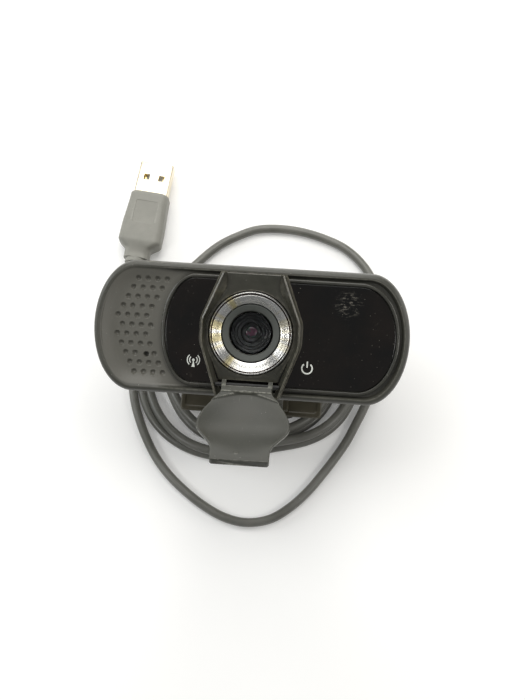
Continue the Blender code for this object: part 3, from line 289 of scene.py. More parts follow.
# Finishes. tone is the second colour of the slow patches, and rough is the pair that the same patches run
# between. The edge colour is that of rubbed edges, and on the trim also a painted highlight. grain is the
# mould texture's scale and depth its height. dust, edge wear with that highlight, and scuff are how much
# there is of each.
finishes = {
    "bodyPlastic": dict(colour=(0.040, 0.040, 0.033), tone=(0.052, 0.051, 0.042), rubAndHighlight=(0.24, 0.235, 0.20),
                        rough=(0.40, 0.50), grain=3.2, depth=0.35, dust=0.35, wearAndHighlight=0.8, scuff=0.10),
    "frontPlastic": dict(colour=(0.040, 0.040, 0.032), tone=(0.052, 0.051, 0.041), rubAndHighlight=(0.22, 0.215, 0.18),
                         rough=(0.40, 0.50), grain=3.2, depth=0.30, dust=0.30, wearAndHighlight=0.45, scuff=0.06,
                         floor=(0.102, 0.099, 0.084)),
    # the trim's pale edges are a painted highlight along them, as well as rubbing
    "trimPlastic": dict(colour=(0.036, 0.036, 0.030), tone=(0.048, 0.047, 0.039), rubAndHighlight=(0.34, 0.33, 0.28),
                        rough=(0.20, 0.28), grain=3.6, depth=0.15, dust=0.25, wearAndHighlight=1.0, scuff=0.08),
    "coverPlastic": dict(colour=(0.028, 0.028, 0.021), tone=(0.040, 0.039, 0.030), rubAndHighlight=(0.30, 0.28, 0.22),
                         rough=(0.26, 0.36), grain=2.8, depth=0.30, dust=0.30, wearAndHighlight=0.6, scuff=0.12),
    "flapPlastic": dict(colour=(0.030, 0.031, 0.024), tone=(0.044, 0.044, 0.035), rubAndHighlight=(0.34, 0.34, 0.29),
                        rough=(0.42, 0.52), grain=2.6, depth=0.30, dust=0.35, wearAndHighlight=0.9, scuff=0.14),
    "clipPlastic": dict(colour=(0.052, 0.046, 0.028), tone=(0.066, 0.058, 0.036), rubAndHighlight=(0.20, 0.18, 0.14),
                        rough=(0.42, 0.55), grain=2.6, depth=0.40, dust=0.25, wearAndHighlight=0.7, scuff=0.10),
    "plugPlastic": dict(colour=(0.200, 0.198, 0.172), tone=(0.240, 0.237, 0.208), rubAndHighlight=(0.36, 0.36, 0.32),
                        rough=(0.42, 0.55), grain=2.4, depth=0.35, dust=0.20, wearAndHighlight=0.6, scuff=0.10),
    "cordJacket": dict(colour=(0.110, 0.110, 0.096), tone=(0.150, 0.149, 0.132), rubAndHighlight=(0.3, 0.3, 0.27),
                       rough=(0.28, 0.38), grain=1.6, depth=0.30, dust=0.20, wearAndHighlight=0.0, scuff=0.10),
    "bezelMatt": dict(colour=(0.058, 0.064, 0.057), tone=(0.070, 0.076, 0.068), rubAndHighlight=(0.22, 0.23, 0.21),
                      rough=(0.55, 0.65), grain=4.0, depth=0.25, dust=0.30, wearAndHighlight=0.4, scuff=0.0),
    # near black: the lens barrel's own black, and painted shade where it is put on the flap pin
    "blackAndPaintedShade": dict(colour=(0.006, 0.006, 0.006), tone=(0.009, 0.009, 0.009), rubAndHighlight=(0.02, 0.02, 0.02),
                        rough=(0.38, 0.5), grain=4.0, depth=0.10, dust=0.0, wearAndHighlight=0.0, scuff=0.0),
    "rubber": dict(colour=(0.028, 0.028, 0.026), tone=(0.040, 0.040, 0.037), rubAndHighlight=(0.08, 0.08, 0.075),
                   rough=(0.70, 0.85), grain=2.0, depth=0.60, dust=0.5, wearAndHighlight=0.4, scuff=0.15),
    "circuitBoard": dict(colour=(0.015, 0.10, 0.045), tone=(0.02, 0.13, 0.055), rubAndHighlight=(0.2, 0.2, 0.1),
                         rough=(0.35, 0.45), grain=1.2, depth=0.30, dust=0.1, wearAndHighlight=0.0, scuff=0.0),
    "chipBlack": dict(colour=(0.015, 0.015, 0.016), tone=(0.022, 0.022, 0.023), rubAndHighlight=(0.06, 0.06, 0.06),
                      rough=(0.45, 0.55), grain=5.0, depth=0.3, dust=0.1, wearAndHighlight=0.2, scuff=0.05),
    "paleNylon": dict(colour=(0.62, 0.62, 0.58), tone=(0.70, 0.70, 0.66), rubAndHighlight=(0.7, 0.7, 0.66),
                      rough=(0.35, 0.45), grain=2.0, depth=0.2, dust=0.1, wearAndHighlight=0.0, scuff=0.05),
}
metals = {
    "steel": dict(colour=(0.56, 0.55, 0.52), tone=(0.64, 0.63, 0.60),
                  rough=(0.22, 0.36), grain=1.5, scuff=0.5),
    "plugSteel": dict(colour=(0.80, 0.72, 0.55), tone=(0.86, 0.79, 0.63),
                      rough=(0.26, 0.36), grain=1.2, scuff=0.4),
    "brass": dict(colour=(0.70, 0.50, 0.20), tone=(0.76, 0.57, 0.27),
                  rough=(0.22, 0.34), grain=1.2, scuff=0.4),
    "goldContact": dict(colour=(0.83, 0.63, 0.27), tone=(0.88, 0.70, 0.36),
                        rough=(0.18, 0.28), grain=1.2, scuff=0.3),
}
made = {}


def startMaterial(name):
    material = bpy.data.materials.new(name)
    material.use_nodes = True
    tree = material.node_tree
    made[name] = material
    return material, tree, tree.nodes["Principled BSDF"]


def dustAndScuffs(tree, scale, dust, scuff):
    specks = addEffect(tree, "dust", Scale=scale, Amount=dust)
    scratches = addEffect(tree, "scuff", Amount=scuff)
    return math2(tree, "MAXIMUM", specks.outputs["Mask"], scratches.outputs["Mask"])


def setRoughness(tree, shader, grain, between, marks, dulling):
    # the grain's patches run between the pair, and marks add to it
    low, high = between
    rough = math2(tree, "MULTIPLY_ADD", grain.outputs["Tone"], high - low, low)
    tree.links.new(math2(tree, "MULTIPLY_ADD", marks, dulling, rough), shader.inputs["Roughness"])


def plastic(name):
    # moulded plastic: patches vary colour and roughness, edges are rubbed pale (on the trim also a painted
    # highlight), dust and scuffs lie on top
    look = finishes[name]
    material, tree, shader = startMaterial(name)
    grain = addEffect(tree, "grain", Scale=look["grain"], Patches=0.09)
    colour = mixColour(tree, grain.outputs["Tone"], look["colour"], look["tone"])
    wearAndHighlight = addEffect(tree, "wearAndHighlight", Amount=look["wearAndHighlight"]).outputs["Mask"]
    if "floor" in look:
        floor = tree.nodes.new("ShaderNodeAttribute")
        floor.attribute_name = "floor"
        colour = mixColour(tree, floor.outputs["Fac"], colour, look["floor"])
        wearAndHighlight = product(tree, wearAndHighlight, oneMinus(tree, floor.outputs["Fac"]))
    # pale edges: rubbing, and on the trim a painted highlight
    colour = mixColour(tree, wearAndHighlight, colour, look["rubAndHighlight"])
    marks = dustAndScuffs(tree, 0.85, look["dust"], look["scuff"])
    colour = mixColour(tree, product(tree, marks, 0.55), colour, (0.46, 0.45, 0.40))
    tree.links.new(colour, shader.inputs["Base Color"])
    setRoughness(tree, shader, grain, look["rough"], marks, 0.2)
    tree.links.new(bump(tree, grain.outputs["Height"], look["depth"], 0.06), shader.inputs["Normal"])
    return material


def metal(name):
    # plated metal: patches in tone, scratches that dull it
    look = metals[name]
    material, tree, shader = startMaterial(name)
    grain = addEffect(tree, "grain", Scale=look["grain"], Patches=0.15)
    scuff = addEffect(tree, "scuff", Amount=look["scuff"])
    colour = mixColour(tree, grain.outputs["Tone"], look["colour"], look["tone"])
    tree.links.new(colour, shader.inputs["Base Color"])
    setRoughness(tree, shader, grain, look["rough"], scuff.outputs["Mask"], 0.35)
    tree.links.new(bump(tree, grain.outputs["Height"], 0.12, 0.04), shader.inputs["Normal"])
    shader.inputs["Metallic"].default_value = 1.0
    return material


# the rubbed patch on the gloss panel: its middle in the world, and the radii that it fades between
rubbed = {"place": (28.5, 16.0, 53.5), "fade": (1.5, 5.0), "strength": 0.7}


def glossPanel():
    # black gloss sheet with dust, short smears and a slow brown cast
    material, tree, shader = startMaterial("panelGloss")
    grain = addEffect(tree, "grain", Scale=0.5, Patches=0.045)
    colour = mixColour(tree, grain.outputs["Tone"], (0.0020, 0.0020, 0.0018), (0.0072, 0.0046, 0.0030))
    marks = dustAndScuffs(tree, 0.7, 0.85, 0.06)
    # the rubbed patch is made of short strokes
    apart = tree.nodes.new("ShaderNodeVectorMath")
    apart.operation = "DISTANCE"
    tree.links.new(inMillimetres(tree), apart.inputs[0])
    apart.inputs[1].default_value = rubbed["place"]
    near = oneMinus(tree, spread(tree, apart.outputs["Value"], *rubbed["fade"]))
    strokes = spread(tree, noise(tree, inMillimetres(tree, (0.7, 2.0, 1.0)), 0.9, 3.0, 0.7), 0.52, 0.62)
    marks = math2(tree, "MAXIMUM", marks, product(tree, near, strokes, rubbed["strength"]))
    colour = mixColour(tree, product(tree, marks, 0.5), colour, (0.26, 0.24, 0.20))
    tree.links.new(colour, shader.inputs["Base Color"])
    setRoughness(tree, shader, grain, (0.12, 0.20), marks, 0.4)
    tree.links.new(bump(tree, grain.outputs["Height"], 0.03, 0.05), shader.inputs["Normal"])
    return material


# painted shade in the chrome ring's groove: the shares of 10 mm from the axis where it starts and where it
# ends
paintedGrooveShade = {"starts": (1.145, 1.152), "ends": (1.172, 1.180)}


def spunChrome():
    # chrome turned on a lathe: thin rings in the normal, painted reflection as faint warm and pale bands
    # round it, and painted shade in its groove
    material, tree, shader = startMaterial("spunChrome")
    turned = tree.nodes.new("ShaderNodeUVMap")
    turned.uv_map = "turned"
    parts = tree.nodes.new("ShaderNodeSeparateXYZ")
    tree.links.new(turned.outputs["UV"], parts.inputs["Vector"])
    rings = math2(tree, "SINE", product(tree, parts.outputs["Y"], 260.0))
    # painted reflection: warm yellow bands at some angles round the ring
    reflectionBands = tree.nodes.new("ShaderNodeTexNoise")
    reflectionBands.noise_dimensions = "1D"
    tree.links.new(parts.outputs["X"], reflectionBands.inputs["W"])
    reflectionBands.inputs["Scale"].default_value = 5.0
    reflectionBands.inputs["Detail"].default_value = 2.0
    paintedWarmReflection = spread(tree, reflectionBands.outputs["Fac"], 0.52, 0.66)
    colour = mixColour(tree, paintedWarmReflection, (0.74, 0.735, 0.71), (0.62, 0.55, 0.33))
    inGrooveShade = product(tree, spread(tree, parts.outputs["Y"], *paintedGrooveShade["starts"]),
                       oneMinus(tree, spread(tree, parts.outputs["Y"], *paintedGrooveShade["ends"])))
    # painted shade: the groove's colour is dark reddish
    colour = mixColour(tree, inGrooveShade, colour, (0.05, 0.028, 0.022))
    tree.links.new(colour, shader.inputs["Base Color"])
    tree.links.new(math2(tree, "MULTIPLY_ADD", paintedWarmReflection, 0.06, 0.22), shader.inputs["Roughness"])
    tree.links.new(bump(tree, rings, 0.25, 0.02), shader.inputs["Normal"])
    shader.inputs["Metallic"].default_value = 1.0
    return material


def clearGlass():
    # the window in front of the lens, with a little dust
    material, tree, shader = startMaterial("coverGlass")
    grain = addEffect(tree, "grain", Scale=0.6, Patches=0.2)
    dust = addEffect(tree, "dust", Scale=1.2, Amount=0.4)
    tree.links.new(mixColour(tree, dust.outputs["Mask"], (0.80, 0.82, 0.82), (0.5, 0.5, 0.46)),
                   shader.inputs["Base Color"])
    tree.links.new(math2(tree, "MULTIPLY_ADD", grain.outputs["Tone"], 0.02, 0.01), shader.inputs["Roughness"])
    shader.inputs["Transmission Weight"].default_value = 1.0
    shader.inputs["IOR"].default_value = 1.2
    return material


def coatedGlass():
    # the front element: near black, with painted reflection: the purple and green glints of its coating, in
    # patches over its dome
    material, tree, shader = startMaterial("coatedGlass")
    centre = noise(tree, inMillimetres(tree), 0.55, 1.0, 0.4)
    # painted reflection: the coating's glints are put in the base colour
    colour = mixColour(tree, spread(tree, centre, 0.42, 0.58), (0.10, 0.02, 0.05), (0.02, 0.07, 0.05))
    tree.links.new(colour, shader.inputs["Base Color"])
    shader.inputs["Roughness"].default_value = 0.04
    shader.inputs["Coat Weight"].default_value = 1.0
    shader.inputs["Coat Roughness"].default_value = 0.02
    return material


def paintedWhite():
    # the white print of the two signs
    material, tree, shader = startMaterial("printedWhite")
    grain = addEffect(tree, "grain", Scale=3.0, Patches=0.4)
    tree.links.new(mixColour(tree, grain.outputs["Tone"], (0.74, 0.78, 0.72), (0.86, 0.88, 0.82)),
                   shader.inputs["Base Color"])
    shader.inputs["Roughness"].default_value = 0.45
    return material


def materialFor(name):
    # each material is made once, when its first piece asks for it
    if name in made:
        return made[name]
    special = {"panelGloss": glossPanel, "spunChrome": spunChrome, "coverGlass": clearGlass,
               "coatedGlass": coatedGlass, "printedWhite": paintedWhite}
    if name in special:
        return special[name]()
    return metal(name) if name in metals else plastic(name)


# Mesh making

def gridFaces(rows, columns, closeRows=False, closeColumns=True):
    # quads between neighbours on a grid of rows by columns, joined end to end where asked
    r = np.arange(rows if closeRows else rows - 1)[:, None]
    c = np.arange(columns if closeColumns else columns - 1)[None, :]
    r2, c2 = (r + 1) % rows, (c + 1) % columns
    corners = [r * columns + c, r * columns + c2, r2 * columns + c2, r2 * columns + c]
    shape = np.broadcast_shapes(r.shape, c.shape)
    return np.stack([np.broadcast_to(corner, shape) for corner in corners], -1).reshape(-1, 4)


edges = {
    "sharp": 35,              # degrees
    "wornFrom": 0.12,         # how far a point's neighbours fall away before its edge is worn, as a share
    "wornGain": 3.2,
    "largeFace": 1e-6,        # square metres, from which a face keeps no wear
}


def measureEdges(mesh):
    # for each point, how far its neighbours fall away behind its normal: 0 on a flat, 1 on a sharp ridge
    count = len(mesh.vertices)
    points = np.empty(count * 3)
    mesh.vertices.foreach_get("co", points)
    points = points.reshape(-1, 3)
    normals = np.empty(count * 3)
    mesh.vertex_normals.foreach_get("vector", normals)
    normals = normals.reshape(-1, 3)
    ends = np.empty(len(mesh.edges) * 2, np.int32)
    mesh.edges.foreach_get("vertices", ends)
    a, b = ends.reshape(-1, 2).T
    step = points[b] - points[a]
    length = np.maximum(np.linalg.norm(step, axis=1), 1e-9)
    step /= length[:, None]
    fall = np.zeros(count)
    np.maximum.at(fall, a, -(step * normals[a]).sum(1))
    np.maximum.at(fall, b, (step * normals[b]).sum(1))
    worn = np.clip((fall - edges["wornFrom"]) * edges["wornGain"], 0, 1)
    layer = mesh.attributes.new("edge", "FLOAT", "POINT")
    layer.data.foreach_set("value", worn.astype(np.float32))


def makePiece(name, parts, finish, rides, where=inWorld, sharp=edges["sharp"], uv=None):
    # parts is a list of (points, [face arrays]), and each is a closed surface. where places the points,
    # and rides names the frame's body that carries the piece. Edges that turn more than sharp stay crisp
    allPoints, corners, sizes, offset = [], [], [], 0
    for points, faceSets in parts:
        points = np.asarray(points, float).reshape(-1, 3)
        allPoints.append(points)
        for faces in faceSets:
            corners.append((np.asarray(faces) + offset).ravel())
            sizes.append(np.full(len(faces), np.asarray(faces).shape[1]))
        offset += len(points)
    points = where(np.concatenate(allPoints)) * mm
    corners, sizes = np.concatenate(corners).astype(np.int32), np.concatenate(sizes)
    mesh = bpy.data.meshes.new(name)
    mesh.vertices.add(len(points))
    mesh.vertices.foreach_set("co", points.ravel().astype(np.float32))
    mesh.loops.add(len(corners))
    mesh.loops.foreach_set("vertex_index", corners)
    mesh.polygons.add(len(sizes))
    mesh.polygons.foreach_set("loop_start", np.concatenate([[0], np.cumsum(sizes)[:-1]]).astype(np.int32))
    if uv is not None:
        layer = mesh.uv_layers.new(name="turned")
        layer.uv.foreach_set("vector", uv[corners].astype(np.float32).ravel())
    mesh.update(calc_edges=True)
    tidy = bmesh.new()
    tidy.from_mesh(mesh)
    bmesh.ops.remove_doubles(tidy, verts=tidy.verts, dist=1e-7)
    bmesh.ops.recalc_face_normals(tidy, faces=tidy.faces)
    tidy.to_mesh(mesh)
    tidy.free()
    mesh.shade_smooth()
    mesh.set_sharp_from_angle(angle=math.radians(sharp))
    measureEdges(mesh)
    obj = bpy.data.objects.new(name, mesh)
    obj.data.materials.append(materialFor(finish))
    bpy.context.scene.collection.objects.link(obj)
    if rides:
        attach(obj, rides)
    return obj


def lofted(rings):
    # a closed body through rings of equal count, with a flat face at each end
    rings = np.asarray(rings, float)
    rows, columns = rings.shape[:2]
    ends = [np.arange(columns)[None, ::-1], np.arange(columns)[None, :] + (rows - 1) * columns]
    return rings, [gridFaces(rows, columns)] + ends


def cutter(rings, finish, where):
    # a closed shape that only takes material away
    return makePiece("cut", [lofted(rings)], finish, None, where)


def hooped(rings):
    # a closed body whose last ring joins its first
    rings = np.asarray(rings, float)
    return rings, [gridFaces(*rings.shape[:2], closeRows=True)]


def filleted(corners, radius, closed=True, steps=4):
    # each corner becomes a quadratic curve that starts and ends a radius from it, or just under half an edge
    c = np.asarray(corners, float)
    radius = np.broadcast_to(np.asarray(radius, float), (len(c),))
    before, after = np.roll(c, 1, 0) - c, np.roll(c, -1, 0) - c
    longBefore, longAfter = np.linalg.norm(before, axis=1), np.linalg.norm(after, axis=1)
    start = c + before * (np.minimum(radius, 0.48 * longBefore) / longBefore)[:, None]
    end = c + after * (np.minimum(radius, 0.48 * longAfter) / longAfter)[:, None]
    t = np.linspace(0, 1, steps + 1)[None, :, None]
    curve = (1 - t) ** 2 * start[:, None] + 2 * t * (1 - t) * c[:, None] + t ** 2 * end[:, None]
    if closed:
        return curve.reshape(-1, c.shape[1])
    inner = curve[1:-1].reshape(-1, c.shape[1])
    return np.concatenate([c[:1], inner, c[-1:]])


def turnedRings(profile, steps=128, centre=(0.0, 0.0)):
    # rings about the depth axis: each pair of radius and depth carried once round
    profile = np.asarray(profile, float)
    a = np.linspace(0, 2 * math.pi, steps, endpoint=False)[None, :]
    radius, depth = profile[:, :1], profile[:, 1:2]
    return np.stack([centre[0] + radius * np.cos(a), depth + 0 * a, centre[1] + radius * np.sin(a)], -1)


def smooth(value, low, high):
    # 0 below low and 1 above high; between them, t squared times (3 - 2t)
    t = np.clip((np.asarray(value, float) - low) / (high - low), 0, 1)
    return t * t * (3 - 2 * t)


# The lead

lead = {
    "radius": 1.5,
    "length": 1.11,
    "sides": 18,
    "start": [
        (-30.0, 5.25, 16.62), (-30.0, 6.0, 14.6), (-30.2, 6.95, 12.3), (-30.4, 8.8, 10.1), (-30.4, 11.6, 8.9),
    ],
    "loop": [
        (-36.3, 26.0, 1.6), (-33.2, 33.5, 1.6), (-28.3, 40.6, 1.6), (-23.3, 46.1, 1.6), (-19.6, 50.2, 1.6),
        (-15.2, 54.1, 1.6), (-9.8, 57.4, 1.6), (-3.6, 60.2, 1.6), (3.0, 61.1, 1.6), (11.3, 60.7, 1.6),
        (19.9, 58.7, 1.6), (28.6, 54.9, 1.6), (35.6, 48.4, 1.6), (40.0, 40.0, 1.6), (42.2, 30.0, 1.6),
        (42.4, 19.0, 1.6), (40.8, 8.0, 1.6), (37.6, -1.7, 1.6), (34.7, -8.4, 1.6), (32.3, -13.7, 1.6),
        (28.9, -19.4, 1.6), (25.0, -25.2, 1.6), (20.4, -31.4, 1.6), (15.0, -37.0, 1.6), (8.6, -41.4, 1.6),
        (1.0, -43.1, 1.6), (-6.4, -41.9, 1.6), (-13.8, -38.4, 1.6), (-20.9, -33.5, 1.6), (-26.5, -28.6, 1.6),
        (-30.9, -23.4, 1.6), (-34.4, -17.8, 1.6), (-37.3, -11.9, 1.6), (-39.8, -5.2, 1.6), (-41.6, 3.0, 1.6),
        (-43.2, 12.0, 1.7), (-44.6, 21.0, 2.2), (-45.4, 29.0, 3.2), (-45.3, 36.2, 4.2),
    ],
}
coil = {
    "centre": (-1.0, 9.0),
    "startAngle": 167.0,
    "turned": 1453.0,         # degrees, clockwise from above
    "pointEvery": 7.5,        # degrees
    "settle": 110,            # the lead arrives this far round before it reaches the turns' own radius
    "settleOut": 1.1,
    "land": 70,               # and this far round before it has come down to the top layer
    "firstDrop": (300, 360),  # the inner turn goes down a layer
    "stepOut": (680, 740),    # up again, and out to the outer turns
    "secondDrop": (1000, 1060),
    "leave": (1360, 1405),    # the last turn swings out to meet the loop
    "leaveOut": (3.0, 1.0),
    "inner": 27.9,
    "outer": 35.0,
    "tuck": (92.0, 38.0, 1.3),   # where the outer turns pass behind the body, how widely, how far in
    "lean": 0.55,             # the lower turns lie this much further out than the upper ones
    "dent": (-75.0, 36.0),    # where the turns are pulled in, and how widely
    "pulls": (3.6, 7.4),
    "lowLayer": 1.6,
    "layer": 3.3,
    "landing": 3.9,           # how far above the top layer the lead arrives
}


def coilPoints():
    # inner top turn, inner bottom turn, outer top turn, outer bottom turn, each joined by a smooth step
    turned = np.linspace(10.0, coil["turned"], int(coil["turned"] / coil["pointEvery"]))[:-1]
    angle = coil["startAngle"] - turned
    firstDrop, stepOut = smooth(turned, *coil["firstDrop"]), smooth(turned, *coil["stepOut"])
    secondDrop, leave = smooth(turned, *coil["secondDrop"]), smooth(turned, *coil["leave"])

    def bellAt(middle, width):
        # 1 at an angle, falling to 0 on both sides of it
        away = (angle - middle + 180) % 360 - 180
        return np.exp(-(away / width) ** 2)

    dent = bellAt(*coil["dent"])
    tuckAt, tuckWidth, tuckIn = coil["tuck"]
    inner = coil["inner"] - coil["pulls"][0] * dent
    outer = coil["outer"] - coil["pulls"][1] * dent - tuckIn * bellAt(tuckAt, tuckWidth)
    radius = inner + (outer - inner) * stepOut
    radius += coil["settleOut"] * (1 - smooth(turned, 0, coil["settle"]))
    swing, rest = coil["leaveOut"]
    radius += swing * leave + rest * smooth(turned, coil["leave"][1], coil["turned"])
    low = firstDrop - stepOut + secondDrop
    radius += coil["lean"] * (2 * low - 1) * (1 - leave)
    rise = coil["landing"] * (1 - smooth(turned, 0, coil["land"]))
    rise += coil["layer"] * (1 - firstDrop)
    rise += coil["layer"] * stepOut * (1 - secondDrop)
    a = np.radians(angle)
    return np.stack([coil["centre"][0] + radius * np.cos(a), coil["centre"][1] + radius * np.sin(a),
                     coil["lowLayer"] + rise], -1)


def splined(knots, spacing, perSpan=16):
    # a centripetal curve through the knots, read at even steps
    k = np.asarray(knots, float)
    k = np.concatenate([[2 * k[0] - k[1]], k, [2 * k[-1] - k[-2]]])
    p0, p1, p2, p3 = (k[i:len(k) - 3 + i][:, None] for i in range(4))
    t1 = np.linalg.norm(p1 - p0, axis=2, keepdims=True) ** 0.5
    t2 = t1 + np.linalg.norm(p2 - p1, axis=2, keepdims=True) ** 0.5
    t3 = t2 + np.linalg.norm(p3 - p2, axis=2, keepdims=True) ** 0.5
    t = t1 + (t2 - t1) * (np.arange(perSpan) / perSpan)[None, :, None]
    a1 = p0 * (t1 - t) / t1 + p1 * t / t1
    a2 = p1 * (t2 - t) / (t2 - t1) + p2 * (t - t1) / (t2 - t1)
    a3 = p2 * (t3 - t) / (t3 - t2) + p3 * (t - t2) / (t3 - t2)
    b1 = a1 * (t2 - t) / t2 + a2 * t / t2
    b2 = a2 * (t3 - t) / (t3 - t1) + a3 * (t - t1) / (t3 - t1)
    fine = (b1 * (t2 - t) / (t2 - t1) + b2 * (t - t1) / (t2 - t1)).reshape(-1, 3)
    fine = np.concatenate([fine, k[-2:-1]])
    along = np.concatenate([[0], np.cumsum(np.linalg.norm(np.diff(fine, axis=0), axis=1))])
    even = np.linspace(0, along[-1], int(along[-1] / spacing) + 1)
    return np.stack([np.interp(even, along, fine[:, i]) for i in range(3)], -1)


def sweptTube(path, radius, sides):
    # circles across a path: each lies square to the path's direction, with one side kept towards the sky
    path = np.asarray(path, float)
    ahead = np.gradient(path, axis=0)
    ahead /= np.linalg.norm(ahead, axis=1, keepdims=True)
    up = np.array([0.02, -0.35, 1.0])
    side = np.cross(ahead, up)
    side /= np.linalg.norm(side, axis=1, keepdims=True)
    top = np.cross(side, ahead)
    a = np.linspace(0, 2 * math.pi, sides, endpoint=False)[None, :, None]
    radius = np.broadcast_to(np.asarray(radius, float), (len(path),))[:, None, None]
    return path[:, None] + radius * (np.cos(a) * side[:, None] + np.sin(a) * top[:, None])


leadPath = splined(np.concatenate([lead["start"], coilPoints(), lead["loop"]]), 1.3)
leadLength = np.linalg.norm(np.diff(leadPath, axis=0), axis=1).sum()
print("lead measures", round(float(leadLength)), "mm")
leadRings = sweptTube(leadPath, lead["radius"], lead["sides"])
usbLead = makePiece("usb_lead", [lofted(leadRings)], "cordJacket", None, sharp=60)
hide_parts("cord_start", "cord_coil", "cord_loop")
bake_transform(usbLead)
print("lead made")


# Camera body

body = {
    "half": 47.5, "high": 19.75, "end": 12.4, "depth": 24.0,
    "floorInset": 2.6, "rimInset": 2.2,
    "lensHole": 6.5,          # radius
    "glandAt": (-30.0, -13.0),
    "leftColumns": 84, "closeColumns": 44, "closeTo": 0.16, "wideColumns": 34, "rightColumns": 42,
    "floorRows": 150,
    "dishFrom": 20.0, "dishTo": 30.0,   # how far left of the lens the recess turns from a groove into a dish
    "dishReach": 5.2,
}


def columnLayout():
    # where the columns stand: an angle round each end, and a share of the straight between them
    # the left ones, which the dimples lie on, stand closer
    leftAngles = np.radians(np.linspace(0, 90, body["leftColumns"]))
    close = np.linspace(0, body["closeTo"], body["closeColumns"])[1:]
    wide = np.linspace(body["closeTo"], 1, body["wideColumns"])[1:]
    rightAngles = np.radians(np.linspace(90, 0, body["rightColumns"]))[1:]
    return leftAngles, np.concatenate([close, wide]), rightAngles


def outlineColumns(inset):
    # across and half-height of each column of the body's pill outline, drawn in by inset
    leftAngles, shares, rightAngles = columnLayout()
    half, high = body["half"] - inset, body["high"] - inset
    end = body["end"] * (1 - inset / body["high"])
    across = np.concatenate([-half + end * (1 - np.cos(leftAngles)), -half + end + shares * 2 * (half - end),
                             half - end * (1 - np.cos(rightAngles))])
    tall = np.concatenate([high * np.sin(leftAngles), np.full(len(shares), high), high * np.sin(rightAngles)])
    return across, tall


def outlineRing(inset, depth):
    # the top row left to right, then the bottom row back, with each end point once
    across, tall = outlineColumns(inset)
    x = np.concatenate([across, across[-2:0:-1]])
    z = np.concatenate([tall, -tall[-2:0:-1]])
    return np.stack([x, np.broadcast_to(depth, x.shape), z], -1)


def stripCap(first, count):
    # long quads across a ring: each top point joins the bottom point of its column
    columns = count // 2 + 1
    top = first + np.arange(columns)
    bottom = first + (count - np.arange(columns)) % count
    quads = np.stack([top[1:-2], top[2:-1], bottom[2:-1], bottom[1:-2]], -1)
    tips = np.array([[top[0], top[1], bottom[1]], [top[-1], bottom[-2], top[-2]]])
    return [quads, tips]


def softness(across):
    return smooth(-across, body["dishFrom"], body["dishTo"])


grille = {
    "rows": 11, "columns": 4, "rowPitch": 2.81, "pitch": 2.87, "shift": 1.42, "turnRow": 4,
    "top": 14.4, "left": -40.2, "radius": 0.84, "depth": 0.8,
    "holeRow": 8, "holeColumn": 2,   # the dimple that the microphone hole takes the place of
    "hole": (-31.1, -8.3), "holeRadius": 0.72, "holeDepth": 1.3, "holeEdge": 0.12,
    "lip": 0.03, "lipAt": 1.12, "lipWidth": 0.16,   # a faint raised lip round each dimple
}


def dimpleCentres():
    # rows step left down to the turning row, right, left again, then right to the last row
    steps = [abs(grille["turnRow"] - row) for row in range(grille["rows"])]
    steps[grille["turnRow"] + 1] = 1
    for row in range(grille["turnRow"] + 2, grille["rows"]):
        steps[row] = row - grille["turnRow"] - 2
    spots = []
    for row, step in enumerate(steps):
        for column in range(grille["columns"]):
            if (row, column) != (grille["holeRow"], grille["holeColumn"]):
                spots.append((grille["left"] + step * grille["shift"] + column * grille["pitch"],
                              grille["top"] - row * grille["rowPitch"]))
    return np.array(spots)


def floorDepth(x, z, outline):
    # depth of the recess floor: a soft dish on the left, flat elsewhere, with a round dimple at each centre
    flat = np.stack([x.ravel(), z.ravel()], -1)
    reach = np.empty(len(flat))
    for part in np.array_split(np.arange(len(flat)), 24):
        reach[part] = np.sqrt(((flat[part][:, None] - outline[None]) ** 2).sum(2).min(1))
    reach = reach.reshape(x.shape)
    soft = softness(x)
    edge = coat["floor"] * (1 - soft) + coat["dishEdge"] * soft
    depth = edge + (coat["floor"] - edge) * np.sin(0.5 * math.pi * np.clip(reach / body["dishReach"], 0, 1))
    near = np.full(x.shape, np.inf)
    for spot in dimpleCentres():
        near = np.minimum(near, np.hypot(x - spot[0], z - spot[1]))
    share = np.clip(near / grille["radius"], 0, 1.35)
    depth += grille["depth"] * np.where(share < 1, 1 - share ** 2.4, 0)
    depth -= grille["lip"] * np.exp(-((near - grille["radius"] * grille["lipAt"]) / grille["lipWidth"]) ** 2)
    away = np.hypot(x - grille["hole"][0], z - grille["hole"][1])
    low, high = grille["holeRadius"] - grille["holeEdge"], grille["holeRadius"] + grille["holeEdge"]
    return depth + grille["holeDepth"] * (1 - smooth(away, low, high))


def cutAway(obj, cutters):
    # takes the cutters' shapes out of the piece for good, and measures its edges again
    for tool in cutters:
        step = obj.modifiers.new("cut", "BOOLEAN")
        step.operation = "DIFFERENCE"
        step.solver = "EXACT"
        step.object = tool
    bpy.context.view_layer.update()
    result = bpy.data.meshes.new_from_object(obj.evaluated_get(bpy.context.evaluated_depsgraph_get()))
    obj.modifiers.clear()
    obj.data = result
    for tool in cutters:
        bpy.data.objects.remove(tool, do_unlink=True)
    result.shade_smooth()
    result.set_sharp_from_angle(angle=math.radians(edges["sharp"]))
    if "edge" in result.attributes:
        result.attributes.remove(result.attributes["edge"])
    measureEdges(result)
    # a worn edge would streak across a large face, so none is kept there
    areas = np.empty(len(result.polygons))
    result.polygons.foreach_get("area", areas)
    sizes = np.empty(len(areas), np.int32)
    result.polygons.foreach_get("loop_total", sizes)
    corners = np.empty(len(result.loops), np.int32)
    result.loops.foreach_get("vertex_index", corners)
    worn = np.empty(len(result.vertices), np.float32)
    result.attributes["edge"].data.foreach_get("value", worn)
    worn[corners[np.repeat(areas > edges["largeFace"], sizes)]] = 0
    result.attributes["edge"].data.foreach_set("value", worn)


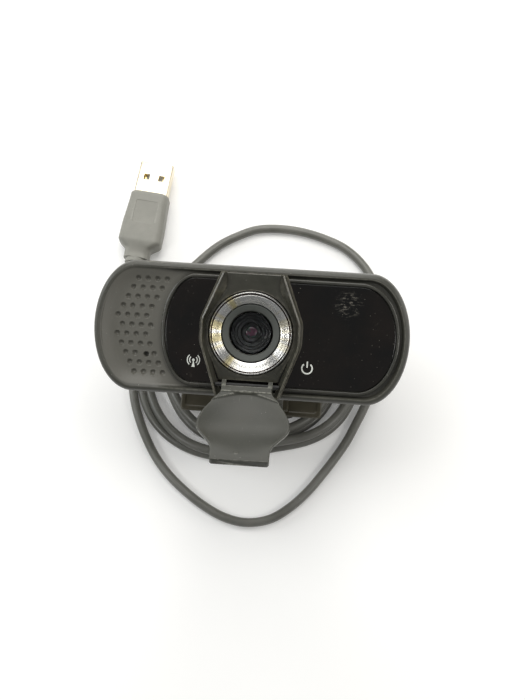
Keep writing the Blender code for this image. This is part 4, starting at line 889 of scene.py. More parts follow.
def makeFrontShell():
    # the rim's profile carried round the pill outline, a floor grid inside it, and the hollow back.
    # rim is inset, depth where the recess is a groove, depth where it is a dish
    rim = [(body["floorInset"], coat["floor"], coat["dishEdge"]), (2.35, 1.45, 0.20),
           (body["rimInset"], 0.9, 0.14), (2.1, 0.35, 0.08), (1.95, 0.08, 0.03)]
    soft = softness(outlineRing(0, 0)[:, 0])
    rings = [outlineRing(inset, groove * (1 - soft) + dish * soft) for inset, groove, dish in rim]
    # inset and depth from the rim's top, back along the outside to the seam, then in and forward again
    corners = [(1.9, 0.0), (1.2, -0.02), (0.45, 0.75), (0.12, 2.4), (0.0, 4.6), (0.0, 10.9), (0.1, 11.0),
               (1.8, 11.0), (2.0, 5.0), (3.4, 3.6)]
    outer = filleted(corners, [0.2, 0.5, 0.8, 1.4, 2.0, 0.1, 0.05, 0.1, 0.6, 0.1], closed=False, steps=5)
    rings += [outlineRing(inset, depth) for inset, depth in outer]
    rings = np.array(rings)
    count = rings.shape[1]
    across, tall = outlineColumns(body["floorInset"])
    rows = body["floorRows"]
    share = np.linspace(1, -1, rows)[:, None]
    x = np.broadcast_to(across, (rows, len(across)))[:, 1:-1]
    z = (share * tall)[:, 1:-1]
    boundary = outlineRing(body["floorInset"], 0)[:, ::2]
    depth = floorDepth(x[1:-1], z[1:-1], boundary)
    grid = np.stack([x[1:-1], depth, z[1:-1]], -1)
    columns = grid.shape[1]
    base = rings.size // 3
    index = np.arange(grid.size // 3).reshape(grid.shape[:2]) + base
    # the grid's first and last rows and its side columns meet the innermost ring
    topRow = 1 + np.arange(columns)
    bottomRow = (count - topRow) % count
    net = np.concatenate([topRow[None], index, bottomRow[None]])
    quads = np.stack([net[:-1, :-1], net[:-1, 1:], net[1:, 1:], net[1:, :-1]], -1).reshape(-1, 4)
    tips = []
    for tip, column in ((0, 0), (columns + 1, columns - 1)):
        tips.append(np.stack([np.full(len(net) - 1, tip), net[:-1, column], net[1:, column]], -1))
    points = np.concatenate([rings.reshape(-1, 3), grid.reshape(-1, 3)])
    faces = [gridFaces(rings.shape[0], count), quads, np.concatenate(tips)] + stripCap(base - count, count)
    shell = makePiece("front_shell_skin", [(points, faces)], "frontPlastic", "head", onHead)
    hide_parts("front_shell")
    hole = [(body["lensHole"], -1.0), (body["lensHole"], 9.0)]
    cutAway(shell, [cutter(turnedRings(hole, 96), "frontPlastic", onHead)])
    # mark the dished floor, whose plastic is paler than the rim's: inside is 1 all along the rim's inner edge
    there = np.empty(len(shell.data.vertices) * 3)
    shell.data.vertices.foreach_get("co", there)
    x, depth, z = fromHead(there.reshape(-1, 3) / mm).T
    beyond = np.clip(np.abs(x) - (body["half"] - body["end"]), 0, None) / (body["end"] - body["rimInset"])
    inside = np.hypot(beyond, z / (body["high"] - body["rimInset"]))
    marked = (1 - smooth(inside, 0.97, 1.0)) * (depth < 3.0) * (x < 0)
    layer = shell.data.attributes.new("floor", "FLOAT", "POINT")
    layer.data.foreach_set("value", marked.astype(np.float32))


# the four case screws: places, the hole for the head and its floor, the hole for the shank and its end
screws = {"across": 39.0, "height": 9.0, "sink": 2.2, "floor": 23.0, "shank": 1.3, "end": 10.0}


def screwSpots():
    across, height = screws["across"], screws["height"]
    return [(x, z) for x in (-across, across) for z in (-height, height)]


def makeRearShell():
    # from the middle of the back, out and round to the seam, then along the inside of the wall
    depth = body["depth"]
    corners = [(8.0, depth), (5.0, depth), (1.6, 22.2), (0.0, 18.6), (0.0, 11.4), (0.1, 11.3), (1.8, 11.3),
               (1.9, 19.0), (6.8, 22.2)]
    outside = filleted(corners, [0.5, 2.2, 2.4, 2.6, 0.2, 0.05, 0.1, 1.5, 0.1], closed=False, steps=6)
    rings = np.array([outlineRing(inset, depth) for inset, depth in outside])
    count = rings.shape[1]
    faces = [gridFaces(rings.shape[0], count)] + stripCap(0, count) + stripCap(rings.size // 3 - count, count)
    shell = makePiece("rear_shell_skin", [(rings, faces)], "bodyPlastic", "head", onHead)
    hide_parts("rear_shell")
    beyond = depth + 6.0
    sunk = [(screws["sink"], beyond), (screws["sink"], screws["floor"]), (screws["shank"], screws["floor"]),
            (screws["shank"], screws["end"])]
    tools = [cutter(turnedRings(sunk, 40, spot), "bodyPlastic", onHead) for spot in screwSpots()]
    glandHole = [(2.6, beyond), (2.6, 15.0)]
    tools.append(cutter(turnedRings(glandHole, 40, body["glandAt"]), "bodyPlastic", onHead))
    cutAway(shell, tools)


makeFrontShell()
makeRearShell()


def blockRings(low, high, edge=0.3, steps=3):
    # a box with every edge rounded: rounded rectangles stacked in height, shrinking at both ends
    low, high = np.array(low, float), np.array(high, float)
    a = np.linspace(0, math.pi / 2, steps + 1)
    levels = [(low[2] + edge * (1 - math.sin(t)), edge * (1 - math.cos(t))) for t in a[::-1]]
    levels += [(high[2] - edge * (1 - math.sin(t)), edge * (1 - math.cos(t))) for t in a]
    rings = []
    for height, inset in levels:
        corners = [(high[0] - inset, high[1] - inset), (low[0] + inset, high[1] - inset),
                   (low[0] + inset, low[1] + inset), (high[0] - inset, low[1] + inset)]
        flat = filleted(corners, edge * 1.6, steps=4)
        rings.append(np.column_stack([flat, np.full(len(flat), height)]))
    return rings


def tabRings(low, high, outline, edge=0.35):
    # a flat outline in depth and height, carried across X, with its two rims rounded off
    outline = np.asarray(outline, float)
    centre = outline.mean(0)
    rings = []
    for share in (0.0, 0.15, 0.5, 1.0):
        pull = edge * (1 - math.sin(math.pi / 2 * share))
        size = 1 - pull / np.linalg.norm(outline - centre, axis=1).max()
        rings.append((low + edge * (1 - math.cos(math.pi / 2 * share)), size))
    rings += [(high - (x - low), size) for x, size in rings[::-1]]
    count = len(outline)
    return [np.column_stack([np.full(count, x), centre + (outline - centre) * size]) for x, size in rings]


def sideTab(side, inner, outer, outline, edge=0.35):
    # a tab between two distances from the middle, on the side that the sign gives
    low, high = sorted((side * inner, side * outer))
    return lofted(tabRings(low, high, outline, edge))


def hingeOutline(axis, radius, reach, foot):
    # half a circle round the axis, running out in straight sides to a foot that is a little wider
    side = math.copysign(1.0, reach)
    a = np.linspace(0, math.pi, 28)
    halfCircle = np.column_stack([axis[0] - radius * np.cos(a), axis[1] - side * radius * np.sin(a)])
    ends = [[axis[0] + radius + foot, axis[1] + reach], [axis[0] - radius - foot, axis[1] + reach]]
    return np.concatenate([halfCircle, ends])


lugs = {"inner": 7.1, "outer": 10.5, "radius": 3.6, "reach": 6.2, "foot": 0.8}


def makeLugs():
    axis = (headPose["behind"], -headPose["below"])
    outline = hingeOutline(axis, lugs["radius"], lugs["reach"], lugs["foot"])
    for name, side in (("left", -1), ("right", 1)):
        makePiece(f"hinge_lug_{name}", [sideTab(side, lugs["inner"], lugs["outer"], outline)],
                  "bodyPlastic", "head", onHead)


makeLugs()
print("camera body made")


# Front panel, its trim and the two printed signs

panel = {
    "left": 25.6, "right": 43.0, "high": 15.5, "endLeft": 8.5, "endRight": 11.0, "thick": 0.9,
    "hole": 12.75,            # radius
    "edge": 0.35,             # how wide its soft edge is, and how far the trim stands above its face
}


def panelRing(grow, depth, steps=64):
    # straight top and bottom between half-elliptical ends
    a = np.radians(np.linspace(90, -90, steps))
    left, right, high = panel["left"] + grow, panel["right"] + grow, panel["high"] + grow
    endLeft, endRight = panel["endLeft"] + grow, panel["endRight"] + grow
    rightEnd = np.stack([right - endRight + endRight * np.cos(a), high * np.sin(a)], -1)
    leftEnd = np.stack([-left + endLeft - endLeft * np.cos(a), -high * np.sin(a)], -1)
    flat = np.concatenate([rightEnd, leftEnd])
    return np.stack([flat[:, 0], np.full(len(flat), depth), flat[:, 1]], -1)


def makePanel():
    # rings from the lens hole out to the edge and round to the back; the hole's points face the edge's points
    edge = panelRing(0, 0)
    angle = np.arctan2(edge[:, 2], edge[:, 0])
    hole = panel["hole"] * np.stack([np.cos(angle), np.zeros(len(angle)), np.sin(angle)], -1)
    front, back = coat["front"], coat["front"] + panel["thick"]
    rings = [hole + [0, back, 0], hole + [0, front, 0]]
    for share in (0.25, 0.5, 0.75):
        rings.append(hole * (1 - share) + panelRing(-panel["edge"], 0) * share + [0, front, 0])
    corners = [(-panel["edge"], front), (-0.04, front + 0.02), (0.0, front + 0.3), (0.0, back)]
    profile = filleted(corners, 0.15, closed=False)
    rings += [panelRing(grow, depth) for grow, depth in profile]
    skin = makePiece("gloss_panel", [hooped(rings)], "panelGloss", "head", onHead, sharp=50)
    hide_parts("front_panel")
    top = front - panel["edge"]
    profile = filleted([(0.3, back), (0.3, top + 0.15), (0.42, top), (1.0, top - 0.02), (1.38, top + 0.32),
                        (1.42, back + 0.25)], [0.02, 0.1, 0.12, 0.25, 0.2, 0.02], steps=4)
    trim = makePiece("panel_trim_ring", [hooped([panelRing(grow, depth, 90) for grow, depth in profile])],
                     "trimPlastic", "head", onHead, sharp=50)
    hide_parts("panel_trim")


makePanel()


def stroke(points, width, front, thick=0.05):
    # a flat ribbon on the panel: a short rectangle carried along points, of the width given at each
    p = np.asarray(points, float)
    ahead = np.gradient(p, axis=0)
    ahead /= np.linalg.norm(ahead, axis=1, keepdims=True)
    side = np.stack([-ahead[:, 1], ahead[:, 0]], -1) * np.broadcast_to(width, (len(p),))[:, None] / 2
    a, b = p + side, p - side
    rings = [np.column_stack([q[:, 0], np.full(len(p), depth), q[:, 1]])
             for q, depth in ((a, front), (b, front), (b, front + thick), (a, front + thick))]
    return lofted(np.stack(rings, 1))


def arc(centre, radius, low, high, steps=28):
    a = np.radians(np.linspace(low, high, steps))
    return np.column_stack([centre[0] + radius * np.cos(a), centre[1] + radius * np.sin(a)])


signs = {"broadcast": (-16.7, -9.4), "power": (17.3, -9.4), "proud": 0.03, "thin": 0.27, "bold": 0.40}


def makeSigns():
    front = coat["front"] - signs["proud"]
    # two arcs each side of a mast that widens to its foot, with a dot on its top
    centre = np.array(signs["broadcast"])
    dot = centre + [0, 0.35]
    parts = [stroke(arc(dot, radius, side - reach, side + reach), signs["thin"], front)
             for side in (0, 180) for radius, reach in ((1.15, 48), (1.85, 50))]
    parts.append(stroke(arc(dot, 0.2, 0, 350), signs["bold"], front))
    mast = np.array([[0.0, 0.2], [0.0, -0.3], [0.0, -1.0], [0.0, -1.75]]) + centre
    parts.append(stroke(mast, [0.18, 0.34, 0.60, 0.95], front))
    makePiece("broadcast_sign", parts, "printedWhite", "head", onHead)
    # a circle that is open at its top, and an upright bar in the opening
    centre = np.array(signs["power"])
    parts = [stroke(arc(centre - [0, 0.1], 1.55, 128, 412, 48), signs["bold"], front)]
    bar = centre + np.array([[0, 0.15], [0, 0.8], [0, 1.4], [0, 2.0]])
    parts.append(stroke(bar, signs["bold"], front))
    makePiece("power_sign", parts, "printedWhite", "head", onHead)


makeSigns()
print("front panel made")


# Lens

lens = {
    "outer": 12.4, "inner": 8.85, "rise": 2.0, "back": 1.5, "grooves": 11, "ringSteps": 200,
    "bezelInner": 6.65,
    "barrelAt": 1.8, "barrelLength": 7.0, "barrelRadius": 6.0, "domeRadius": 1.7,
}


def makeLens():
    rise, inner, outer, back = -lens["rise"], lens["inner"], lens["outer"], lens["back"]
    # outer lip, a groove that the chrome's colour paints dark as shade, then a wide face that slopes in with
    # turned grooves
    lip = filleted([(outer, back), (outer, rise + 0.55), (outer - 0.22, rise), (outer - 0.50, rise + 0.02),
                    (outer - 0.64, rise + 0.42), (outer - 0.84, rise + 0.46), (outer - 0.92, rise + 0.22)],
                   [0.05, 0.25, 0.12, 0.1, 0.1, 0.08, 0.04], closed=False)
    across = np.linspace(outer - 0.98, inner + 0.32, lens["grooves"] * 6)
    share = (across - across[-1]) / (across[0] - across[-1])
    slope = rise + 1.35 - 1.10 * share - 0.22 * np.sin(math.pi * share)
    ridges = 0.019 * np.cos(2 * math.pi * lens["grooves"] * share)
    face = np.column_stack([across, slope - ridges])
    corners = [(inner + 0.3, rise + 1.37), (inner + 0.02, rise + 1.45), (inner, rise + 1.75), (inner, back)]
    end = filleted(corners, [0.05, 0.15, 0.1, 0.1], closed=False)
    profile = np.concatenate([lip, face, end])
    rings = turnedRings(profile, lens["ringSteps"])
    turnShare = np.abs(np.linspace(-1, 1, lens["ringSteps"], endpoint=False))
    uv = np.stack(np.broadcast_arrays(turnShare[None, :], profile[:, :1] * 0.1), -1).reshape(-1, 2)
    ring = makePiece("chrome_ring", [hooped(rings)], "spunChrome", "head", onHead, sharp=50, uv=uv)
    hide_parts("lens_ring")
    front = rise + 1.72
    hole = lens["bezelInner"]
    profile = filleted([(inner - 0.3, back), (inner - 0.3, front + 0.1), (inner - 0.5, front),
                        (hole + 0.35, front + 0.55), (hole, front + 0.72), (hole, front + 1.1)],
                       [0.02, 0.08, 0.12, 0.2, 0.12, 0.02], steps=4)
    bezel = makePiece("lens_bezel_ring", [hooped(turnedRings(profile, 160))], "bezelMatt", "head", onHead,
                      sharp=45)
    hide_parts("lens_bezel")
    corners = [(0.0, 0.62), (hole - 0.5, 0.66), (hole - 0.32, 0.85), (hole - 0.32, 1.45), (0.0, 1.45)]
    profile = filleted(corners, [0, 0.15, 0.1, 0.05, 0], closed=False)
    window = makePiece("lens_window_glass", [lofted(turnedRings(profile[1:-1], 96))], "coverGlass", "head",
                       onHead, sharp=50)
    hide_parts("lens_window")
    # a stepped black cone down to the opening, with thin turned steps that keep stray light out
    start, end, radius = lens["barrelAt"], lens["barrelAt"] + lens["barrelLength"], lens["barrelRadius"]
    corners = [(radius, start), (radius, end), (5.1, end), (5.1, start + 3.6), (1.9, start + 3.5)]
    cone = [(1.75, 2.55), (2.6, 2.4), (3.05, 1.9), (3.15, 1.25), (4.1, 1.1), (4.2, 0.75), (5.0, 0.62),
            (5.1, 0.3), (5.7, 0.0)]
    corners += [(radius, start + depth) for radius, depth in cone]
    rings = turnedRings(filleted(corners, 0.1, steps=3), 96)
    barrel = makePiece("lens_barrel_tube", [hooped(rings)], "blackAndPaintedShade", "head", onHead,
                       sharp=40)
    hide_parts("lens_barrel")
    # the front element: a shallow dome just under the opening
    share = np.linspace(0.04, 1, 16)
    bulge = 0.55 * np.sqrt(np.clip(1 - (share * 0.92) ** 2, 0, 1))
    dome = np.column_stack([lens["domeRadius"] * share, start + 2.75 - bulge + 0.22])
    dome = np.concatenate([dome, [[lens["domeRadius"], start + 3.3], [0.06, start + 3.3]]])
    element = makePiece("lens_element_dome", [lofted(turnedRings(dome, 64))], "coatedGlass", "head", onHead,
                        sharp=60)
    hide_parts("lens_element_front")


makeLens()
print("lens made")


# Privacy cover: a plate round the ring, a rail down each side, and the flap

# depths of the cover's back, its plate's face and its rails' crest, and the radius of the hole round the ring
cover = {"base": 0.0, "plate": -0.9, "rail": -4.8, "hole": 12.7, "bend": 1.1, "soft": 0.18}


def railRings(side):
    # the rail's section carried from its top corner, round the wide middle, to its bottom tip: each list is
    # where one edge of the section runs, as places across and up
    foot = [(9.9, 17.8), (15.4, 3.6), (15.4, -3.2), (9.9, -18.8)]
    ridge = [(8.9, 17.8), (14.6, 3.6), (14.6, -3.2), (9.4, -18.8)]
    crest = [(8.5, 17.8), (14.2, 3.6), (14.2, -3.2), (8.9, -18.8)]
    inner = [(7.95, 17.8), (7.85, 13.4), (13.3, 3.4), (13.3, -3.0), (7.75, -18.6)]
    proud = 0.3               # how far the inner line lies in front of the plate
    lines = []
    for corners, depth in ((foot, cover["base"]), (ridge, cover["rail"] + 0.25), (crest, cover["rail"]),
                           (inner, cover["plate"] - proud)):
        line = filleted(corners, cover["bend"], closed=False, steps=6)
        along = np.linspace(corners[0][1], corners[-1][1], 120)
        across = np.interp(-along, -line[:, 1], line[:, 0])
        lines.append(np.column_stack([side * across, np.full(len(along), depth), along]))
    foot, ridge, crest, inner = lines
    back = inner + np.array([0.0, cover["base"] - cover["plate"] + proud, 0.0])
    lines = [foot, foot * 0.2 + ridge * 0.8, ridge, ridge * 0.35 + crest * 0.65, crest,
             crest * 0.85 + inner * 0.15, inner, back]
    rings = np.stack(lines, 1)
    # both ends are pulled in a little, so that their edges are soft
    for end, shift in ((0, -cover["soft"]), (-1, cover["soft"])):
        cap = rings[end] - (rings[end] - rings[end].mean(0)) * 0.07
        cap[:, 2] = rings[end][:, 2]
        rings[end][:, 2] += shift
        rings = np.concatenate([cap[None], rings]) if end == 0 else np.concatenate([rings, cap[None]])
    return rings


def makeCoverFrame():
    rails = [makePiece(f"cover_rail_{name}", [lofted(railRings(side))], "coverPlastic", "head", onHead,
                       sharp=28) for name, side in (("left", -1), ("right", 1))]
    # the plate: a ring of points on its outline, each facing one on the round hole
    right = [(8.3, 17.7), (8.3, 13.0), (13.6, 3.4), (13.6, -3.0), (8.7, -14.2)]
    left = [(-across, up) for across, up in reversed(right)]
    line = np.array(right + left + right[:1], float)
    along = np.concatenate([[0], np.cumsum(np.linalg.norm(np.diff(line, axis=0), axis=1))])
    even = np.linspace(0, along[-1], 240, endpoint=False)
    outline = np.stack([np.interp(even, along, line[:, i]) for i in range(2)], -1)
    angle = np.arctan2(outline[:, 1], outline[:, 0])
    hole = cover["hole"] * np.stack([np.cos(angle), np.sin(angle)], -1)
    front, back = cover["plate"], cover["base"]

    def ring(share, depth):
        flat = outline * (1 - share) + hole * share
        return np.column_stack([flat[:, 0], np.full(len(flat), depth), flat[:, 1]])

    stops = [(0, back), (0, front + 0.12), (0.03, front + 0.03), (0.06, front), (0.5, front), (0.94, front),
             (0.98, front + 0.04), (1, front + 0.16), (1, back)]
    rings = [ring(share, depth) for share, depth in stops]
    plate = makePiece("cover_plate", [hooped(rings)], "coverPlastic", "head", onHead,
                      sharp=40)
    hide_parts("cover_frame")
    for piece in rails:
        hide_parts("cover_frame")


flap = {
    # along the flap from its hinge
    "barAt": 1.5, "barEnd": 3.5, "crease": 6.4, "widest": 15.6, "waist": 25.2, "gate": 26.0, "lipAt": 26.7,
    "bowlEnd": 27.2, "length": 28.8,
    # half widths at the bar, the disc and the free end
    "root": 7.5, "wide": 13.4, "neck": 8.35, "corner": 0.8,
    # thicknesses and depths
    "thick": 1.3, "lip": 2.4, "dish": 2.4, "step": 0.5, "arch": 3.1, "face": 0.9, "barRise": 0.4,
    "gateDepth": 0.14, "sideRound": 0.35, "endRound": 0.25,
    # the two arms
    "armInner": 6.25, "armReach": 3.1, "barrel": 1.45,
}


def flapHalf(along):
    # half width: a narrow bar, a quick flare to the disc, a waist, and a straight free end with small corners
    flare = flap["root"] + (flap["wide"] - flap["root"]) * np.sin(
        0.5 * math.pi * np.clip((along - flap["barEnd"]) / (flap["widest"] - flap["barEnd"]), 0, 1))
    waist = flap["neck"] + (flap["wide"] - flap["neck"]) * (0.5 + 0.5 * np.cos(
        math.pi * np.clip((along - flap["widest"]) / (flap["waist"] - flap["widest"]), 0, 1)))
    near = np.clip((along - flap["length"] + flap["corner"]) / flap["corner"], 0, 1)
    return np.where(along < flap["widest"], flare, waist) - flap["corner"] * (1 - np.sqrt(1 - near ** 2))


def flapRise(along, across):
    # how far the shell stands away from the lens: a small step at a curved crease, then a dish up to the lip.
    # The dish is sin(pi * share ** 0.8) ** 1.35 along the flap, and 1 - |across| ** 2.4 across it
    start = flap["crease"] - flap["arch"] * (1 - across ** 2)
    share = np.clip((along - start) / (flap["bowlEnd"] - start), 0, 1)
    step = flap["step"] * smooth(share, 0.0, 0.025)
    bowl = flap["dish"] * np.sin(math.pi * share ** 0.8) ** 1.35 * (1 - np.abs(across) ** 2.4)
    return np.where((share > 0) & (share < 1), bowl + step * (1 - smooth(share, 0.3, 1.0)), 0)


def makeFlap():
    columns = 81
    along = np.concatenate([np.linspace(flap["barAt"], flap["waist"], 120),
                            np.linspace(flap["waist"], flap["length"], 50)[1:]])[:, None]
    across = np.sin(0.5 * math.pi * np.linspace(-1, 1, columns))[None, :]
    half = flapHalf(along)
    rise = flapRise(along, across)
    x = half * across
    roundFrom = 0.955         # of the half width
    sideRound = flap["sideRound"] * (np.clip((np.abs(across) - roundFrom) / (1 - roundFrom), 0, 1) ** 2)
    near = flap["face"] - rise - sideRound
    near = near + flap["barRise"] * (1 - smooth(along, flap["barEnd"], flap["barEnd"] + 0.3))
    # a small gate mark near the free end
    gate = np.hypot(x + 1.0, along - flap["gate"])
    near = near + flap["gateDepth"] * (1 - smooth(gate, 0.45, 0.75))
    lip = flap["thick"] + (flap["lip"] - flap["thick"]) * smooth(along, flap["lipAt"], flap["bowlEnd"])
    far = flap["face"] - lip - rise + sideRound
    endRound = flap["endRound"] * smooth(along, flap["length"] - flap["endRound"], flap["length"])
    near, far = near - endRound, far + endRound
    inner = np.stack([x, near, along + 0 * x], -1)
    outer = np.stack([x, far, along + 0 * x], -1)
    rings = np.concatenate([inner, outer[:, ::-1]], 1)
    parts = [lofted(rings)]
    # two arms run from the bar to the pivots, and each ends in a short barrel
    outline = hingeOutline((0.0, 0.0), flap["barrel"], flap["armReach"], -0.55)
    outline[:, 0] = np.clip(outline[:, 0], -flap["barrel"], flap["face"])
    parts += [sideTab(side, flap["armInner"], flap["root"], outline, 0.2) for side in (-1, 1)]
    skin = makePiece("cover_flap_shell", parts, "flapPlastic", "flap", onFlap, sharp=32)
    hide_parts("privacy_flap")


makeCoverFrame()
makeFlap()
print("privacy cover made")


# Clip

clip = {
    "half": 23.0, "front": -9.7, "back": 28.5, "low": 8.6, "top": 14.0, "corner": 1.1,
    "slope": 0.16,            # the front face goes back by this share of the height below the top edge
    "lipHalf": 20.0, "ear": 2.95, "earInner": 15.3, "earOuter": 18.3,
}


def planRing(half, front, back, corner, height, steps=10):
    flat = filleted([(half, back), (-half, back), (-half, front), (half, front)], corner * 1.3, steps=steps)
    return np.column_stack([flat, np.full(len(flat), height)])


def makeClip():
    low, top = clip["low"], clip["top"]
    corners = [(4.0, low), (0.9, low), (0.7, low + 0.3), (0.0, top - 0.8), (0.3, top), (1.5, top),
               (1.75, top - 0.3), (6.0, top - 0.35)]
    profile = filleted(corners, [0.1, 0.2, 0.2, 0.3, 0.3, 0.2, 0.2, 0.1], closed=False)
    rings = []
    for inset, z in profile:
        front = clip["front"] + inset + clip["slope"] * (top - z)
        rings.append(planRing(clip["half"] - inset, front, clip["back"] - inset, clip["corner"], z))
    plate = makePiece("clip_plate_shell", [lofted(rings)], "clipPlastic", "clip", inWorld)
    lipBox = blockRings((-clip["lipHalf"], clip["front"] + 1.6, low - 1.2),
                        (clip["lipHalf"], clip["front"] + 4.2, low + 0.8), 0.35)
    lip = makePiece("clip_lip", [lofted(lipBox)], "clipPlastic", "clip", inWorld)
    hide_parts("clip_plate")
    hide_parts("clip_plate")
    pivot = np.array(joints["clip_leg_fold"]["pos_m"]) / mm
    outline = hingeOutline((pivot[1], pivot[2]), clip["ear"], low + 1.0 - pivot[2], 0.6)
    for name, side in (("left", -1), ("right", 1)):
        ear = makePiece(f"leg_ear_{name}", [sideTab(side, clip["earInner"], clip["earOuter"], outline)],
                        "clipPlastic", "clip", inWorld)
        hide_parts("clip_plate")


makeClip()


def ribs(first, pitch, radius, change, groove):
    # five ribs along a relief: each is a groove, then a raised band whose radius changes from rib to rib.
    # groove is how deep it is, where its floor ends, where the band starts, and where the band ends
    deep, floorEnd, bandStart, bandEnd = groove
    profile = []
    for step in range(5):
        at, outer = first + step * pitch, radius + step * change
        profile += [(outer - deep, at), (outer - deep, at + floorEnd)]
        profile += [(outer, at + bandStart), (outer, at + bandEnd)]
    return profile


relief = {"hole": 1.72, "soft": 0.12, "glandReach": 7.0}


def makeGland():
    # a tapered relief: a flange, then ribs that get slimmer towards the lead
    depth, end = body["depth"], body["depth"] + relief["glandReach"]
    profile = [(2.2, depth - 0.9), (2.2, depth + 0.25), (3.35, depth + 0.3), (3.4, depth + 1.2)]
    profile += ribs(depth + 1.5, 1.08, 3.05, -0.17, (0.42, 0.3, 0.42, 0.95))
    profile += [(2.05, end), (relief["hole"], end)]
    rings = turnedRings(filleted(profile, relief["soft"], closed=False, steps=3), 64, body["glandAt"])
    gland = makePiece("lead_gland", [lofted(rings)], "rubber", "head", onHead)
    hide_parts("cord_gland")


makeGland()
print("clip and gland made")


# Plug

plug = {
    "length": 24.9, "half": 7.5, "tall": 4.0, "corner": 2.6,
    "neck": (0.60, 0.72), "drawIn": 0.09, "mouthRound": 0.09, "neckRound": 0.10,   # shares of the half sizes
    "mouth": 22.2, "room": (6.3, 2.55),   # where the sleeve starts inside the grip, and the room for it
    "pad": ((-4.2, 12.5, 3.9), (4.2, 21.5, 6.0)),   # the thumb's rest, taken out of the grip's top
    "outer": (6.0, 2.25), "inner": (5.65, 1.9), "sleeve": 14.7,
    "windowAt": 2.64, "windowHalf": 1.1, "windowFrom": 29.9, "windowTo": 32.2,
}


def roundedSection(halfWide, halfTall, corner, along, steps=8):
    corners = [(halfWide, halfTall), (-halfWide, halfTall), (-halfWide, -halfTall), (halfWide, -halfTall)]
    flat = filleted(corners, corner, steps=steps)
    return np.column_stack([flat[:, 0], np.full(len(flat), along), flat[:, 1]])


def makePlug():
    # the moulded grip: a slim neck swells in an S to the grip, which draws in a little to its mouth
    along = np.concatenate([np.linspace(0, 0.34, 30), np.linspace(0.34, 0.97, 24)[1:], [0.985, 0.995, 1.0]])
    # wide, tall and close are shares of its half sizes, and along is a share of its length
    neckWide, neckTall = plug["neck"]
    wide = neckWide + (1 - neckWide) * smooth(along, 0.13, 0.27) - plug["drawIn"] * smooth(along, 0.4, 0.97)
    tall = neckTall + (1 - neckTall) * smooth(along, 0.05, 0.27)
    close = plug["mouthRound"] * smooth(along, 0.965, 1.0) ** 2
    close += plug["neckRound"] * (1 - smooth(along, 0.0, 0.012))
    half, high = plug["half"] * (wide - close), plug["tall"] * (tall - close)
    rings = [roundedSection(h, t, plug["corner"], y) for h, t, y in zip(half, high, along * plug["length"])]
    grip = makePiece("plug_grip", [lofted(rings)], "plugPlastic", "clip", onPlug)
    space = [roundedSection(*plug["room"], 0.7, y) for y in (plug["mouth"] - 0.3, 28.0)]
    pad = blockRings(*plug["pad"], 0.5)
    cutAway(grip, [cutter(rings, "plugPlastic", onPlug) for rings in (space, pad)])
    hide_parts("plug_housing")
    # the relief: a collar and thin ribs, then a taper onto the lead
    profile = [(relief["hole"], -7.8), (2.15, -7.7)] + ribs(-7.0, 1.05, 2.35, 0.24, (0.3, 0.25, 0.35, 0.9))
    profile += [(3.2, -1.6), (3.75, -1.45), (3.75, -0.04), (1.7, -0.04)]
    rings = turnedRings(filleted(profile, relief["soft"], closed=False, steps=3), 64)
    collar = makePiece("plug_relief_collar", [lofted(rings)], "plugPlastic", "clip", onPlug)
    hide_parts("plug_relief")
    # the metal sleeve, open at its mouth, with two windows in its top
    outer, inner = plug["outer"], plug["inner"]
    start, end = plug["mouth"], plug["mouth"] + plug["sleeve"]
    rings = [roundedSection(*outer, 0.75, start), roundedSection(*outer, 0.75, end - 0.3),
             roundedSection(outer[0] - 0.05, outer[1] - 0.05, 0.72, end - 0.1),
             roundedSection(5.82, 2.07, 0.6, end), roundedSection(*inner, 0.5, end - 0.15),
             roundedSection(*inner, 0.5, start)]
    shell = makePiece("plug_shell_sleeve", [hooped(rings)], "plugSteel", "clip", onPlug)
    tools = []
    for side in (-1, 1):
        middle = side * plug["windowAt"]
        window = blockRings((middle - plug["windowHalf"], plug["windowFrom"], 0.0),
                            (middle + plug["windowHalf"], plug["windowTo"], 5.0), 0.12)
        tools.append(cutter(window, "plugSteel", onPlug))
    cutAway(shell, tools)
    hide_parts("plug_shell")
    return grip, collar, shell


plugPieces = makePlug()
print("plug made")


# Finishes for the pieces that keep the frame's own shape

kept = {
    "bodyPlastic": ["lens_holder"],
    "clipPlastic": ["tilt_neck", "clip_leg"],
    # the flap pin is near black as painted shade, so that the slot behind the flap's bar reads dark
    "blackAndPaintedShade": ["flap_pin"],
    "steel": [*(f"case_screw_{i}" for i in range(1, 5)), "tilt_pin", "leg_pin", "friction_washer_left",
              "friction_washer_right", "neck_screw_1", "neck_screw_2", "microphone"],
    "brass": ["tripod_insert"],
    "rubber": ["foot_pad", "jaw_pad", "cover_adhesive_ring", "microphone_gasket"],
    "coatedGlass": ["lens_element_rear"],
    "circuitBoard": ["main_board"],
    "chipBlack": ["image_sensor", "image_processor"],
    "paleNylon": ["cable_header", "infrared_filter", "status_led", "power_led", "status_light_guide",
                  "power_light_guide", "plug_tongue"],
    "goldContact": [f"plug_contact_{i}" for i in range(1, 5)],
}
for finish, names in kept.items():
    for name in names:
        mesh = frame["nodes"][name].data
        mesh.materials.clear()
        mesh.materials.append(materialFor(finish))
print("finishes set on", sum(len(names) for names in kept.values()), "kept nodes")


# Floor and light

stage = {"half": 900, "points": 25, "below": 0.05}


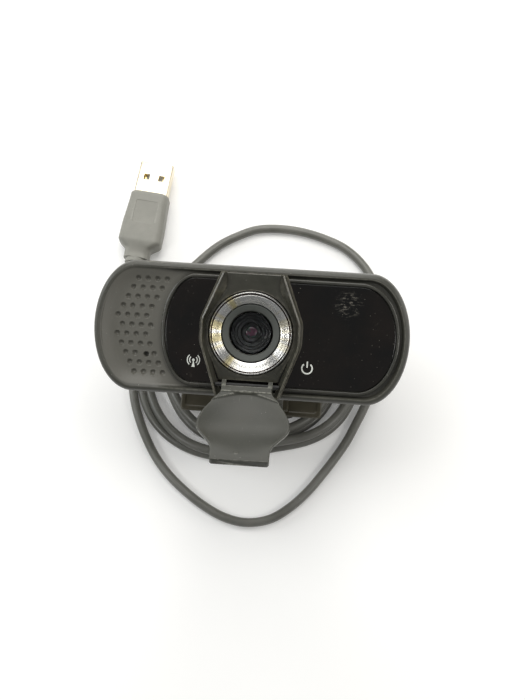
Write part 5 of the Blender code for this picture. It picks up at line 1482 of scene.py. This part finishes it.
def makeFloor():
    # a wide pale sheet, just under the pieces that rest on it
    side = np.linspace(-stage["half"], stage["half"], stage["points"])
    x, y = np.meshgrid(side, side)
    floor = bpy.data.meshes.new("floor")
    points = np.stack([x, y, np.full(x.shape, -stage["below"])], -1).reshape(-1, 3) * mm
    floor.from_pydata(points, [], gridFaces(stage["points"], stage["points"], closeColumns=False))
    floor.update()
    obj = bpy.data.objects.new("floor", floor)
    bpy.context.scene.collection.objects.link(obj)
    paint, tree, shader = startMaterial("paleFloor")
    tone = addEffect(tree, "grain", Scale=0.2, Patches=0.01)
    tree.links.new(mixColour(tree, tone.outputs["Tone"], (0.86, 0.86, 0.85), (0.88, 0.88, 0.87)),
                   shader.inputs["Base Color"])
    shader.inputs["Roughness"].default_value = 0.9
    shader.inputs["Emission Color"].default_value = (1.0, 1.0, 0.99, 1.0)
    shader.inputs["Emission Strength"].default_value = 0.14
    floor.materials.append(paint)


lights = [
    # name, place, aimed at, size, watts, colour
    ("overhead", (-40, 250, 500), (0, 0, 30), (480, 380), 1.9, (1.0, 0.985, 0.955)),
    ("fanRight", (290, -140, 350), (0, 0, 50), (70, 110), 0.3, (1.0, 0.98, 0.95)),
    ("fanLeft", (-310, -150, 350), (0, 0, 50), (70, 110), 0.3, (1.0, 0.99, 0.97)),
    ("backLow", (-60, 430, 170), (-10, 70, 5), (420, 140), 0.8, (1.0, 0.985, 0.95)),
    ("windowLeft", (-460, 120, 240), (0, 0, 30), (200, 300), 0.9, (0.97, 0.99, 1.0)),
    ("windowRight", (460, 120, 240), (0, 0, 30), (160, 300), 0.7, (1.0, 0.97, 0.92)),
]


room = {"colour": (0.92, 0.94, 0.96, 1.0), "strength": 0.24}


def makeLights():
    for name, spot, aim, size, watts, colour in lights:
        data = bpy.data.lights.new(name, "AREA")
        data.shape = "RECTANGLE"
        data.size, data.size_y = size[0] * mm, size[1] * mm
        data.energy = watts
        data.color = colour
        obj = bpy.data.objects.new(name, data)
        obj.location = Vector(spot) * mm
        obj.rotation_euler = (Vector(aim) - Vector(spot)).to_track_quat("-Z", "Y").to_euler()
        bpy.context.scene.collection.objects.link(obj)
    world = bpy.data.worlds.new("softRoom")
    world.use_nodes = True
    background = world.node_tree.nodes["Background"]
    background.inputs["Color"].default_value = room["colour"]
    background.inputs["Strength"].default_value = room["strength"]
    bpy.context.scene.world = world


makeFloor()
makeLights()
print("floor and light set")
